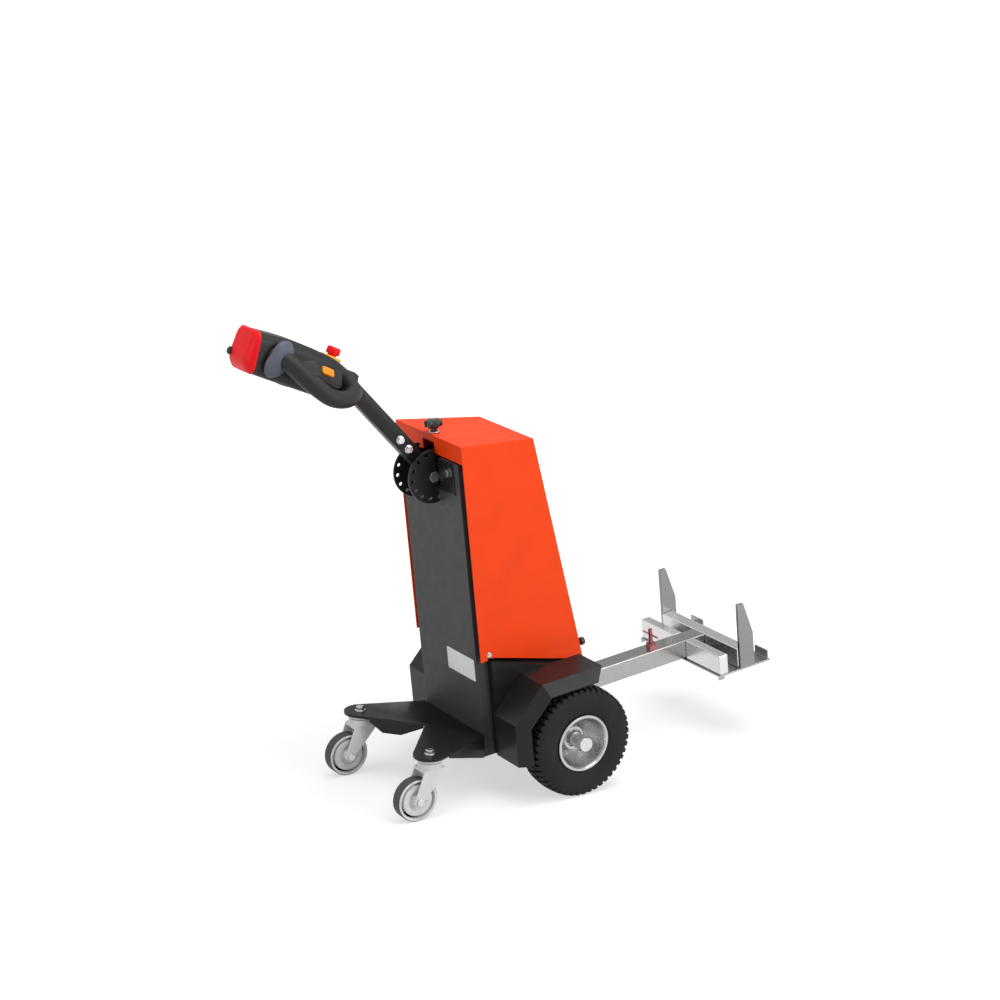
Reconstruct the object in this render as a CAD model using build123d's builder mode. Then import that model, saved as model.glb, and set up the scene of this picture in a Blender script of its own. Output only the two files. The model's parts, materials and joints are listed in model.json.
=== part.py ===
from build123d import *
import os
from math import cos, sin, radians

# Walk-behind electric tug with a folded orange hood, two driven pneumatic
# wheels, two swivel castors and a stainless tow carrier. Millimetres. The floor
# is z = 0, +X points to the carrier, +Y is the operator's left. The whole body
# leans back on its castors, so body pieces are drawn on planes that are pitched
# about the drive axle; castors and wheels are drawn level.

os.makedirs("parts", exist_ok=True)

# frame
axle_x = 71.55
axle_z = 130.0
pitch = 5.68
sheet = 3.0
hands = (("right", -1), ("left", 1))

# rear panel
panel_x = -189.0
panel_half = 125.4
panel_bottom = -17.5
panel_top = 688.0
panel_flange = 30.0

# chassis tray
tray_rear = panel_x + panel_flange
tray_front = 103.0
tray_half = 143.0
tray_floor = panel_bottom
tray_top_rear = 216.0
tray_top_front = 124.0
tray_flange = 46.0
shelf_z = 61.0
drive_opening = (-64.0, 36.0, 76.0)

# hood
hood_rear = -186.0
hood_rear_half = 142.9
hood_taper = 0.1426
hood_top_rear = 732.4
hood_top_front = (18.4, 696.2)
hood_foot_front = (112.6, 128.0)
hood_edge_rear = (-148.0, 220.2)
hood_flange_bottom = 690.2
hood_sheet = 2.5
hood_cut_half = 24.0
hood_cut_top = 716.0
hood_tab_bottom = 219.4
hood_tab_width = 20.0
hood_slot_width = 10.0
hood_slot_top = 238.0

# star knob on the hood
knob_x = -168.7
knob_r = 22.0
knob_ring_r = 15.0
knob_stud_r = 5.0
knob_foot = 7.0
knob_height = 26.0
knob_lobes = 6

# wheel guards
guard_rear = -166.4
guard_foot = -13.7
guard_knee = 89.4
guard_slope_end = -86.7
guard_top = 166.0
guard_front = 75.1
guard_crease = 234.4
guard_lip = 251.5
lip_inset = 28.2
lip_knee = 77.6
lip_slope_end = -75.4
lip_front = 52.5

# drive wheels
wheel_y = 216.6
tyre_r = 130.0
tyre_shoulder = (31.0, 127.0)
tyre_bulge = (37.0, 98.0)
tyre_bead = (31.0, 67.0)
bead_seat_r = 52.0
rim_half = 35.0
rim_flange_r = 66.0
rim_wall = 4.5
rim_disc = (-17.0, -12.0)
hub_r = 24.0
hub_ends = (-36.0, 22.0)
shaft_r = 10.0
running_gap = 0.05
shaft_inner_end = 110.0
nut_r = 15.0
nut_length = 12.0

# drive unit
gearbox = (-60.0, 32.0, 70.0, -46.0, 57.0)
axle_tube_r = 14.0
axle_tube_end = 172.0
motor_r = 34.0
motor_z = 22.0
motor_end = -150.0
battery = (-148.0, 42.0, 84.0, 64.0, 400.0)

# castor plate, level
castor_x = -352.0
castor_y = 158.4
plate_top = 150.0
plate_sheet = 6.0
plate_root_x = -195.0
plate_root_half = 134.5
plate_ear_r = 42.0
vee_x = -268.0
plate_rim = 16.0

# castors
castor_trail = 39.4
castor_r = 50.0
castor_half = 15.5
castor_hub_r = 36.0
race_r = 30.0
race_z = 136.0
crown_r = 27.5
crown_z = (120.0, 133.0)
king_r = 6.0
fork_inner = 20.6
fork_leg = 3.6
fork_top_half = 26.0
fork_bridge = 6.0
fork_eye_r = 13.0
castor_pin_r = 5.0
castor_pin_head = 8.5

# tow tube and carrier
tow_half = 24.35
tow_z = (3.2, 49.0)
tow_start = 42.0
bar_x = (515.0, 547.0)
cross_x = (456.0, 481.0)
carrier_half = 161.5
carrier_plate = 4.0
carrier_floor_x = (452.0, 606.0)
upright_x = (517.0, 559.0)
upright_top = 164.0
upright_bend = 84.0
upright_tip = 535.0
upright_thick = 8.0
tab_y = (106.0, 155.0)
tab_top = 20.0
hook_length = 16.0
hook_bottom = -12.0
slot_y = (108.0, 151.0)
slot_x = (563.0, 567.0)

# latch pin on the tow tube
latch_x = 372.0
latch_base = (18.0, 12.0)
latch_pin_r = 5.0
latch_pin_top = 96.0
latch_rod_r = 2.0
latch_rod_half = 30.0
latch_rod_z = 82.0

# tiller pivot
pivot_x = -202.0
pivot_z = 643.0
pin_r = 8.0
disc_y = (30.0, 36.0)
disc_r = 62.0
disc_holes = 14
disc_hole_r = 4.5
disc_hole_ring = 52.0
ear_y = (24.0, 30.0)
ear_r = 26.0
cheek_y = (44.0, 50.0)
bracket_back = (-136.0, -130.0)
bracket_wing = 3.0
bracket_half = 106.0
bracket_z = (612.0, 686.0)
panel_cut_bottom = 574.0

# tiller
tiller_angle = 54.0
arm_half_depth = 21.0
arm_half_thick = 15.0
head_start_x = -343.7
head_start_z = 904.5
head_slope = 32.75
head_half = 52.0
head_neck_half = 30.0
head_shoulder = 96.0
nose_half = 50.0
nose_corner = 26.0
loop_root_y = 60.0
loop_root_h = -24.0
loop_droop = 40.0
loop_r = 19.0
loop_fillet = 30.0
thumb_centre = (238.0, -34.0)
thumb_size = (80.0, 42.0)
thumb_tilt = 74.0
thumb_y = (55.0, 64.0)
horn_centre = (108.0, -26.0)
horn_size = (28.0, 22.0)
horn_height = 6.0
stop_s = 84.0
stop_base_r = 22.0
stop_base_h = 14.0
stop_button_r = 17.0
stop_button_h = 20.0
nose_button = (-56.0, 10.0)

axle = Vector(axle_x, 0, axle_z)
body_x = Vector(cos(radians(pitch)), 0, sin(radians(pitch)))
body_z = Vector(-sin(radians(pitch)), 0, cos(radians(pitch)))
side = Plane(origin=axle, x_dir=body_x, z_dir=(0, -1, 0))
deck = Plane(origin=axle, x_dir=body_x, z_dir=body_z)
level_side = Plane(origin=(axle_x, 0, 0), x_dir=(1, 0, 0), z_dir=(0, -1, 0))
wheel_section = Plane(origin=axle, x_dir=(0, 1, 0), z_dir=(1, 0, 0))
wheel_axis = Axis((axle_x, 0, axle_z), (0, 1, 0))

# Rear panel: a tall folded channel that faces the operator.
with BuildPart() as rear_panel:
    with BuildSketch(deck.offset(panel_bottom)):
        with Locations((panel_x + panel_flange / 2, 0)):
            Rectangle(panel_flange, 2 * panel_half)
        with Locations((panel_x + panel_flange / 2 + sheet, 0)):
            Rectangle(panel_flange, 2 * (panel_half - sheet), mode=Mode.SUBTRACT)
    extrude(amount=panel_top - panel_bottom)
    with BuildSketch(side):
        with BuildLine():
            Polyline(
                (panel_x, panel_cut_bottom),
                (panel_x + sheet, panel_cut_bottom),
                (panel_x + sheet, panel_top),
                (panel_x, panel_top),
                close=True,
            )
        make_face()
    extrude(amount=cheek_y[1], both=True, mode=Mode.SUBTRACT)
rear_panel.part.label = "rear_panel"
export_step(rear_panel.part, "parts/rear_panel.step")

# Chassis tray: a folded box with a battery shelf and a sloping top flange.
with BuildPart() as chassis_tray:
    with BuildSketch(side):
        with BuildLine():
            Polyline(
                (tray_rear, tray_floor),
                (tray_front, tray_floor),
                (tray_front, tray_top_front),
                (tray_rear, tray_top_rear),
                close=True,
            )
        make_face()
    extrude(amount=tray_half, both=True)
    with BuildSketch(side):
        with BuildLine():
            Polyline(
                (tray_rear + sheet, shelf_z + sheet),
                (tray_front - sheet, shelf_z + sheet),
                (tray_front - sheet, tray_top_front - sheet),
                (tray_rear + sheet, tray_top_rear - sheet),
                close=True,
            )
        make_face()
        with BuildLine():
            Polyline(
                (tray_rear + sheet, tray_floor + sheet),
                (tray_front - sheet, tray_floor + sheet),
                (tray_front - sheet, shelf_z),
                (tray_rear + sheet, shelf_z),
                close=True,
            )
        make_face()
    extrude(amount=tray_half - sheet, both=True, mode=Mode.SUBTRACT)
    with BuildSketch(deck.offset(shelf_z + sheet)):
        with BuildLine():
            Polyline(
                (tray_rear + sheet, tray_half - tray_flange),
                (tray_front - sheet, tray_half - tray_flange),
                (tray_front - sheet, tray_flange - tray_half),
                (tray_rear + sheet, tray_flange - tray_half),
                close=True,
            )
        make_face()
    extrude(amount=tray_top_rear, mode=Mode.SUBTRACT)
    with BuildSketch(deck.offset(tray_floor)):
        with Locations(((drive_opening[0] + drive_opening[1]) / 2, 0)):
            Rectangle(drive_opening[1] - drive_opening[0], 2 * drive_opening[2])
    extrude(amount=sheet, mode=Mode.SUBTRACT)
    with BuildSketch(side):
        Circle(axle_tube_r + 0.5)
    extrude(amount=tray_half, both=True, mode=Mode.SUBTRACT)
    with BuildSketch(side):
        with BuildLine():
            Polyline(
                (tow_start, tow_z[0]),
                (tray_front, tow_z[0]),
                (tray_front, tow_z[1]),
                (tow_start, tow_z[1]),
                close=True,
            )
        make_face()
    extrude(amount=tow_half, both=True, mode=Mode.SUBTRACT)
chassis_tray.part.label = "chassis_tray"
export_step(chassis_tray.part, "parts/chassis_tray.step")

# Hood: a tapered sheet cover, open below and behind, with a short rear flange.
hood_mid_z = (hood_tab_bottom + hood_top_rear) / 2
hood_front_half = hood_rear_half - hood_taper * (hood_foot_front[0] - hood_rear)
top_slope = (hood_top_front[1] - hood_top_rear) / (hood_top_front[0] - hood_rear)
with BuildPart() as hood_cavity:
    with BuildSketch(side):
        with BuildLine():
            Polyline(
                (hood_rear - sheet, 0),
                (hood_rear - sheet, hood_flange_bottom),
                (hood_rear + hood_sheet, hood_flange_bottom),
                (hood_rear + hood_sheet, hood_top_rear + hood_sheet * (top_slope - 1)),
                (hood_top_front[0] - hood_sheet, hood_top_front[1] - hood_sheet),
                (hood_foot_front[0] - hood_sheet, hood_foot_front[1]),
                (hood_foot_front[0] - hood_sheet, 0),
                close=True,
            )
        make_face()
    extrude(amount=hood_rear_half, both=True)
    with BuildSketch(deck):
        with BuildLine():
            Polyline(
                (hood_rear - sheet, hood_rear_half - hood_sheet),
                (hood_rear, hood_rear_half - hood_sheet),
                (hood_foot_front[0], hood_front_half - hood_sheet),
                (hood_foot_front[0], hood_sheet - hood_front_half),
                (hood_rear, hood_sheet - hood_rear_half),
                (hood_rear - sheet, hood_sheet - hood_rear_half),
                close=True,
            )
        make_face()
    extrude(amount=hood_top_rear, mode=Mode.INTERSECT)
with BuildPart() as hood:
    with BuildSketch(side):
        with BuildLine():
            Polyline(
                (hood_rear, hood_tab_bottom),
                (hood_rear, hood_top_rear),
                hood_top_front,
                hood_foot_front,
                hood_edge_rear,
                (hood_rear + hood_tab_width + hood_slot_width, hood_edge_rear[1]),
                (hood_rear + hood_tab_width + hood_slot_width, hood_slot_top),
                (hood_rear + hood_tab_width, hood_slot_top),
                (hood_rear + hood_tab_width, hood_tab_bottom),
                close=True,
            )
        make_face()
    extrude(amount=hood_rear_half, both=True)
    with BuildSketch(deck):
        with BuildLine():
            Polyline(
                (hood_rear, hood_rear_half),
                (hood_foot_front[0], hood_front_half),
                (hood_foot_front[0], -hood_front_half),
                (hood_rear, -hood_rear_half),
                close=True,
            )
        make_face()
    extrude(amount=hood_top_rear, mode=Mode.INTERSECT)
    add(hood_cavity.part, mode=Mode.SUBTRACT)
    with BuildSketch(side):
        with BuildLine():
            Polyline(
                (hood_rear - sheet, hood_flange_bottom),
                (hood_rear + 2 * sheet, hood_flange_bottom),
                (hood_rear + 2 * sheet, hood_cut_top),
                (hood_rear - sheet, hood_cut_top),
                close=True,
            )
        make_face()
    extrude(amount=hood_cut_half, both=True, mode=Mode.SUBTRACT)
    with BuildSketch(deck.offset(hood_mid_z)):
        with Locations((knob_x, 0)):
            Circle(knob_stud_r + 0.5)
    extrude(amount=hood_top_rear - hood_mid_z, mode=Mode.SUBTRACT)
hood.part.label = "hood"
export_step(hood.part, "parts/hood.step")

# Star knob that holds the hood down: stud, foot ring and a lobed grip.
knob_base = hood_top_rear + top_slope * (knob_x - hood_rear - knob_ring_r)
with BuildPart() as star_knob:
    with BuildSketch(deck.offset(knob_base - 4 * knob_foot)):
        with Locations((knob_x, 0)):
            Circle(knob_stud_r)
    extrude(amount=4 * knob_foot)
    with BuildSketch(deck.offset(knob_base)):
        with Locations((knob_x, 0)):
            Circle(knob_ring_r)
    extrude(amount=knob_foot)
    with BuildSketch(deck.offset(knob_base + knob_foot)):
        with Locations((knob_x, 0)):
            Circle(0.8 * knob_r)
            with PolarLocations(0.72 * knob_r, knob_lobes):
                Circle(0.28 * knob_r)
    extrude(amount=knob_height)
star_knob.part.label = "star_knob"
export_step(star_knob.part, "parts/star_knob.step")

# Wheel guards: folded sheet with a rear wall, a slope, a flat top and a bevelled lip.
for name, hand in hands:
    with BuildPart() as guard_room:
        for y, rear, knee, slope_end, top, front in (
            (tray_half, guard_rear, guard_knee, guard_slope_end, guard_top, guard_front),
            (guard_crease, guard_rear, guard_knee, guard_slope_end, guard_top, guard_front),
        ):
            with BuildSketch(side.offset(-hand * y)):
                with BuildLine():
                    Polyline(
                        (rear + sheet, 2 * guard_foot),
                        (rear + sheet, knee - sheet / 2),
                        (slope_end + sheet / 2, top - sheet),
                        (2 * front, top - sheet),
                        (2 * front, 2 * guard_foot),
                        close=True,
                    )
                make_face()
        loft(ruled=True)
        for y, rear, knee, slope_end, top, front in (
            (guard_crease, guard_rear, guard_knee, guard_slope_end, guard_top, guard_front),
            (guard_lip, guard_rear + lip_inset, lip_knee, lip_slope_end, guard_top - lip_inset, lip_front),
        ):
            with BuildSketch(side.offset(-hand * y)):
                with BuildLine():
                    Polyline(
                        (rear + sheet, 2 * guard_foot),
                        (rear + sheet, knee - sheet / 2),
                        (slope_end + sheet / 2, top - sheet),
                        (2 * guard_front, top - sheet),
                        (2 * guard_front, 2 * guard_foot),
                        close=True,
                    )
                make_face()
        loft(ruled=True)
    with BuildPart() as guard:
        for y, rear, knee, slope_end, top, front in (
            (tray_half, guard_rear, guard_knee, guard_slope_end, guard_top, guard_front),
            (guard_crease, guard_rear, guard_knee, guard_slope_end, guard_top, guard_front),
        ):
            with BuildSketch(side.offset(-hand * y)):
                with BuildLine():
                    Polyline(
                        (rear, guard_foot),
                        (rear, knee),
                        (slope_end, top),
                        (front, top),
                        (front, guard_foot),
                        close=True,
                    )
                make_face()
        loft(ruled=True)
        for y, rear, knee, slope_end, top, front in (
            (guard_crease, guard_rear, guard_knee, guard_slope_end, guard_top, guard_front),
            (guard_lip, guard_rear + lip_inset, lip_knee, lip_slope_end, guard_top - lip_inset, lip_front),
        ):
            with BuildSketch(side.offset(-hand * y)):
                with BuildLine():
                    Polyline(
                        (rear, guard_foot),
                        (rear, knee),
                        (slope_end, top),
                        (front, top),
                        (front, guard_foot),
                        close=True,
                    )
                make_face()
        loft(ruled=True)
        add(guard_room.part, mode=Mode.SUBTRACT)
    guard.part.label = "guard_" + name
    export_step(guard.part, "parts/guard_" + name + ".step")

# Castor plate: level sheet with two round ears, a vee between them and a turned-down rim.
with BuildPart() as castor_plate:
    with BuildSketch(Plane.XY.offset(plate_top - plate_rim)) as plate_sketch:
        with BuildLine():
            Polyline(
                (axle_x + plate_root_x, plate_root_half),
                (axle_x + castor_x + 0.4 * plate_ear_r, castor_y + 0.9 * plate_ear_r),
                (axle_x + castor_x - 0.5 * plate_ear_r, castor_y - 0.85 * plate_ear_r),
                (axle_x + vee_x, 0),
                (axle_x + castor_x - 0.5 * plate_ear_r, 0.85 * plate_ear_r - castor_y),
                (axle_x + castor_x + 0.4 * plate_ear_r, -castor_y - 0.9 * plate_ear_r),
                (axle_x + plate_root_x, -plate_root_half),
                close=True,
            )
        make_face()
        with Locations((axle_x + castor_x, castor_y), (axle_x + castor_x, -castor_y)):
            Circle(plate_ear_r)
    extrude(amount=plate_rim)
    with BuildSketch(Plane.XY.offset(plate_top - plate_rim)):
        add(plate_sketch.sketch_local)
        offset(amount=-plate_sheet, mode=Mode.REPLACE)
    extrude(amount=plate_rim - plate_sheet, mode=Mode.SUBTRACT)
castor_plate.part.label = "castor_plate"
export_step(castor_plate.part, "parts/castor_plate.step")

# Tow tube: stainless box section from the chassis out to the carrier.
with BuildPart() as tow_tube:
    with BuildSketch(side):
        with BuildLine():
            Polyline(
                (tow_start, tow_z[0]),
                (bar_x[0], tow_z[0]),
                (bar_x[0], tow_z[1]),
                (tow_start, tow_z[1]),
                close=True,
            )
        make_face()
    extrude(amount=tow_half, both=True)
tow_tube.part.label = "tow_tube"
export_step(tow_tube.part, "parts/tow_tube.step")

# Carrier floor: a plate with two upturned tabs in front and two hooks behind.
with BuildPart() as carrier_floor:
    with BuildSketch(deck.offset(-carrier_plate)):
        with Locations(((carrier_floor_x[0] + carrier_floor_x[1]) / 2, 0)):
            Rectangle(carrier_floor_x[1] - carrier_floor_x[0], 2 * carrier_half)
        for hand in (-1, 1):
            with Locations(((slot_x[0] + slot_x[1]) / 2, hand * (slot_y[0] + slot_y[1]) / 2)):
                Rectangle(slot_x[1] - slot_x[0], slot_y[1] - slot_y[0], mode=Mode.SUBTRACT)
    extrude(amount=carrier_plate)
    with BuildSketch(deck.offset(-carrier_plate)):
        for hand in (-1, 1):
            with Locations((carrier_floor_x[1] - carrier_plate / 2, hand * (tab_y[0] + tab_y[1]) / 2)):
                Rectangle(carrier_plate, tab_y[1] - tab_y[0])
    extrude(amount=tab_top + carrier_plate)
    with BuildSketch(deck.offset(hook_bottom)):
        for hand in (-1, 1):
            with Locations((carrier_floor_x[0] + hook_length / 2, hand * (carrier_half - carrier_plate / 2))):
                Rectangle(hook_length, carrier_plate)
    extrude(amount=-hook_bottom)
carrier_floor.part.label = "carrier_floor"
export_step(carrier_floor.part, "parts/carrier_floor.step")

# Cross tube of the carrier: one length welded on each side of the tow tube.
with BuildPart() as carrier_cross_tube:
    with BuildSketch(deck):
        for hand in (-1, 1):
            with Locations(((cross_x[0] + cross_x[1]) / 2, hand * (carrier_half + tow_half) / 2)):
                Rectangle(cross_x[1] - cross_x[0], carrier_half - tow_half)
    extrude(amount=tow_z[1])
carrier_cross_tube.part.label = "carrier_cross_tube"
export_step(carrier_cross_tube.part, "parts/carrier_cross_tube.step")

# Carrier bar between the two uprights.
with BuildPart() as carrier_bar:
    with BuildSketch(deck):
        with Locations(((bar_x[0] + bar_x[1]) / 2, 0)):
            Rectangle(bar_x[1] - bar_x[0], 2 * (carrier_half - upright_thick))
    extrude(amount=tow_z[1])
carrier_bar.part.label = "carrier_bar"
export_step(carrier_bar.part, "parts/carrier_bar.step")

# Uprights: thick plates with one slanted edge, standing on the carrier floor.
for name, hand in hands:
    with BuildPart() as upright:
        with BuildSketch(side.offset(-hand * carrier_half)):
            with BuildLine():
                Polyline(
                    (upright_x[0], 0),
                    (upright_x[1], 0),
                    (upright_x[1], upright_bend),
                    (upright_tip, upright_top),
                    (upright_x[0], upright_top),
                    close=True,
                )
            make_face()
        extrude(amount=hand * upright_thick)
    upright.part.label = "upright_" + name
    export_step(upright.part, "parts/upright_" + name + ".step")

# Latch pin on the tow tube: square foot, upright pin and a thin cross rod.
with BuildPart() as latch_pin:
    with BuildSketch(deck.offset(tow_z[1])):
        with Locations((latch_x, 0)):
            Rectangle(latch_base[0], latch_base[0])
    extrude(amount=latch_base[1])
    with BuildSketch(deck.offset(tow_z[1])):
        with Locations((latch_x, 0)):
            Circle(latch_pin_r)
    extrude(amount=latch_pin_top - tow_z[1])
    with BuildSketch(side):
        with Locations((latch_x, latch_rod_z)):
            Circle(latch_rod_r)
    extrude(amount=latch_rod_half, both=True)
latch_pin.part.label = "latch_pin"
export_step(latch_pin.part, "parts/latch_pin.step")

# Drive unit: gearbox, motor and the two axle tubes, seen from below.
with BuildPart() as drive_unit:
    with BuildSketch(deck.offset(gearbox[3])):
        with Locations(((gearbox[0] + gearbox[1]) / 2, 0)):
            Rectangle(gearbox[1] - gearbox[0], 2 * gearbox[2])
    extrude(amount=gearbox[4] - gearbox[3])
    with BuildSketch(side):
        Circle(axle_tube_r)
    extrude(amount=axle_tube_end, both=True)
    with BuildSketch(Plane(origin=axle, x_dir=(0, 1, 0), z_dir=body_x).offset(motor_end)):
        with Locations((0, motor_z)):
            Circle(motor_r)
    extrude(amount=gearbox[0] - motor_end)
    for hand in (-1, 1):
        with BuildSketch(side.offset(hand * (shaft_inner_end - 2))):
            Circle(shaft_r + running_gap)
        extrude(amount=hand * axle_tube_end, mode=Mode.SUBTRACT)
drive_unit.part.label = "drive_unit"
export_step(drive_unit.part, "parts/drive_unit.step")

# Battery: one plain block on the shelf inside the hood.
with BuildPart() as battery_block:
    with BuildSketch(deck.offset(battery[3])):
        with Locations(((battery[0] + battery[1]) / 2, 0)):
            Rectangle(battery[1] - battery[0], 2 * battery[2])
    extrude(amount=battery[4] - battery[3])
battery_block.part.label = "battery_block"
export_step(battery_block.part, "parts/battery_block.step")

# Drive wheels: pneumatic tyre, dished rim, and the drive shaft with its nut.
for name, hand in hands:
    with BuildPart() as tyre:
        with BuildSketch(wheel_section):
            with BuildLine():
                ThreePointArc(
                    (hand * (wheel_y - tyre_shoulder[0]), tyre_shoulder[1]),
                    (hand * wheel_y, tyre_r),
                    (hand * (wheel_y + tyre_shoulder[0]), tyre_shoulder[1]),
                )
                ThreePointArc(
                    (hand * (wheel_y + tyre_shoulder[0]), tyre_shoulder[1]),
                    (hand * (wheel_y + tyre_bulge[0]), tyre_bulge[1]),
                    (hand * (wheel_y + tyre_bead[0]), tyre_bead[1]),
                )
                Polyline(
                    (hand * (wheel_y + tyre_bead[0]), tyre_bead[1]),
                    (hand * (wheel_y + tyre_bead[0]), bead_seat_r),
                    (hand * (wheel_y - tyre_bead[0]), bead_seat_r),
                    (hand * (wheel_y - tyre_bead[0]), tyre_bead[1]),
                )
                ThreePointArc(
                    (hand * (wheel_y - tyre_bead[0]), tyre_bead[1]),
                    (hand * (wheel_y - tyre_bulge[0]), tyre_bulge[1]),
                    (hand * (wheel_y - tyre_shoulder[0]), tyre_shoulder[1]),
                )
            make_face()
        revolve(axis=wheel_axis)
    tyre.part.label = "tyre_" + name
    export_step(tyre.part, "parts/tyre_" + name + ".step")
    with BuildPart() as rim:
        with BuildSketch(wheel_section):
            with BuildLine():
                Polyline(
                    (hand * (wheel_y + hub_ends[0]), shaft_r),
                    (hand * (wheel_y + hub_ends[1]), shaft_r),
                    (hand * (wheel_y + hub_ends[1]), hub_r),
                    (hand * (wheel_y + rim_disc[1]), hub_r),
                    (hand * (wheel_y + rim_disc[1]), bead_seat_r - rim_wall),
                    (hand * (wheel_y + rim_half), bead_seat_r - rim_wall),
                    (hand * (wheel_y + rim_half), rim_flange_r),
                    (hand * (wheel_y + tyre_bead[0]), rim_flange_r),
                    (hand * (wheel_y + tyre_bead[0]), bead_seat_r),
                    (hand * (wheel_y - tyre_bead[0]), bead_seat_r),
                    (hand * (wheel_y - tyre_bead[0]), rim_flange_r),
                    (hand * (wheel_y - rim_half), rim_flange_r),
                    (hand * (wheel_y - rim_half), bead_seat_r - rim_wall),
                    (hand * (wheel_y + rim_disc[0]), bead_seat_r - rim_wall),
                    (hand * (wheel_y + rim_disc[0]), hub_r),
                    (hand * (wheel_y + hub_ends[0]), hub_r),
                    close=True,
                )
            make_face()
        revolve(axis=wheel_axis)
    rim.part.label = "rim_" + name
    export_step(rim.part, "parts/rim_" + name + ".step")
    with BuildPart() as drive_shaft:
        with BuildSketch(wheel_section):
            with BuildLine():
                Polyline(
                    (hand * shaft_inner_end, 0),
                    (hand * shaft_inner_end, shaft_r),
                    (hand * (wheel_y + hub_ends[1]), shaft_r),
                    (hand * (wheel_y + hub_ends[1]), nut_r),
                    (hand * (wheel_y + hub_ends[1] + nut_length), nut_r),
                    (hand * (wheel_y + hub_ends[1] + nut_length), 0),
                    close=True,
                )
            make_face()
        revolve(axis=wheel_axis)
    drive_shaft.part.label = "drive_shaft_" + name
    export_step(drive_shaft.part, "parts/drive_shaft_" + name + ".step")

# Castors: fixed race with king pin, swivel fork, wheel pin, hub and tread.
for name, hand in hands:
    swivel = (axle_x + castor_x, hand * castor_y)
    hub_x = castor_x - castor_trail
    fork_mid = level_side.offset(-hand * castor_y)
    pin_axis = Axis((axle_x + hub_x, 0, castor_r), (0, 1, 0))
    with BuildPart() as castor_race:
        with BuildSketch(Plane.XY.offset(race_z)):
            with Locations(swivel):
                Circle(race_r)
        extrude(amount=plate_top - plate_sheet - race_z)
        with BuildSketch(Plane.XY.offset(crown_z[0])):
            with Locations(swivel):
                Circle(king_r)
        extrude(amount=race_z - crown_z[0])
    castor_race.part.label = "castor_race_" + name
    export_step(castor_race.part, "parts/castor_race_" + name + ".step")
    with BuildPart() as castor_fork:
        with BuildSketch(fork_mid):
            with BuildLine():
                Polyline(
                    (castor_x - fork_top_half, crown_z[0]),
                    (castor_x + fork_top_half, crown_z[0]),
                    (castor_x + fork_top_half, crown_z[0] - 2 * fork_bridge),
                    (hub_x + fork_eye_r, castor_r),
                    (hub_x - fork_eye_r, castor_r),
                    close=True,
                )
            make_face()
            with Locations((hub_x, castor_r)):
                Circle(fork_eye_r)
        extrude(amount=fork_inner + fork_leg, both=True)
        with BuildSketch(Plane.XY):
            with Locations(swivel):
                Rectangle(6 * castor_r, 2 * fork_inner)
        extrude(amount=crown_z[0] - fork_bridge, mode=Mode.SUBTRACT)
        with BuildSketch(Plane.XY.offset(crown_z[0])):
            with Locations(swivel):
                Circle(crown_r)
        extrude(amount=crown_z[1] - crown_z[0])
        with BuildSketch(Plane.XY.offset(castor_r)):
            with Locations(swivel):
                Circle(king_r + running_gap)
        extrude(amount=castor_r * 2, mode=Mode.SUBTRACT)
        with BuildSketch(fork_mid):
            with Locations((hub_x, castor_r)):
                Circle(castor_pin_r)
        extrude(amount=2 * fork_inner, both=True, mode=Mode.SUBTRACT)
    castor_fork.part.label = "castor_fork_" + name
    export_step(castor_fork.part, "parts/castor_fork_" + name + ".step")
    with BuildPart() as castor_pin:
        with BuildSketch(fork_mid):
            with Locations((hub_x, castor_r)):
                Circle(castor_pin_r)
        extrude(amount=fork_inner + fork_leg, both=True)
        for face in (-1, 1):
            with BuildSketch(fork_mid.offset(face * (fork_inner + fork_leg))):
                with Locations((hub_x, castor_r)):
                    Circle(castor_pin_head)
            extrude(amount=face * castor_pin_r)
    castor_pin.part.label = "castor_pin_" + name
    export_step(castor_pin.part, "parts/castor_pin_" + name + ".step")
    with BuildPart() as castor_hub:
        with BuildSketch(fork_mid):
            with Locations((hub_x, castor_r)):
                Circle(castor_hub_r)
                Circle(castor_pin_r + running_gap, mode=Mode.SUBTRACT)
        extrude(amount=castor_half - 1.5, both=True)
        with BuildSketch(fork_mid):
            with Locations((hub_x, castor_r)):
                Circle(castor_hub_r / 3)
                Circle(castor_pin_r + running_gap, mode=Mode.SUBTRACT)
        extrude(amount=castor_half, both=True)
    castor_hub.part.label = "castor_hub_" + name
    export_step(castor_hub.part, "parts/castor_hub_" + name + ".step")
    with BuildPart() as castor_tread:
        with BuildSketch(fork_mid):
            with Locations((hub_x, castor_r)):
                Circle(castor_r)
                Circle(castor_hub_r, mode=Mode.SUBTRACT)
        extrude(amount=castor_half, both=True)
        fillet(castor_tread.edges().filter_by(GeomType.CIRCLE).sort_by(SortBy.RADIUS)[-2:], 4)
    castor_tread.part.label = "castor_tread_" + name
    export_step(castor_tread.part, "parts/castor_tread_" + name + ".step")

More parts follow.
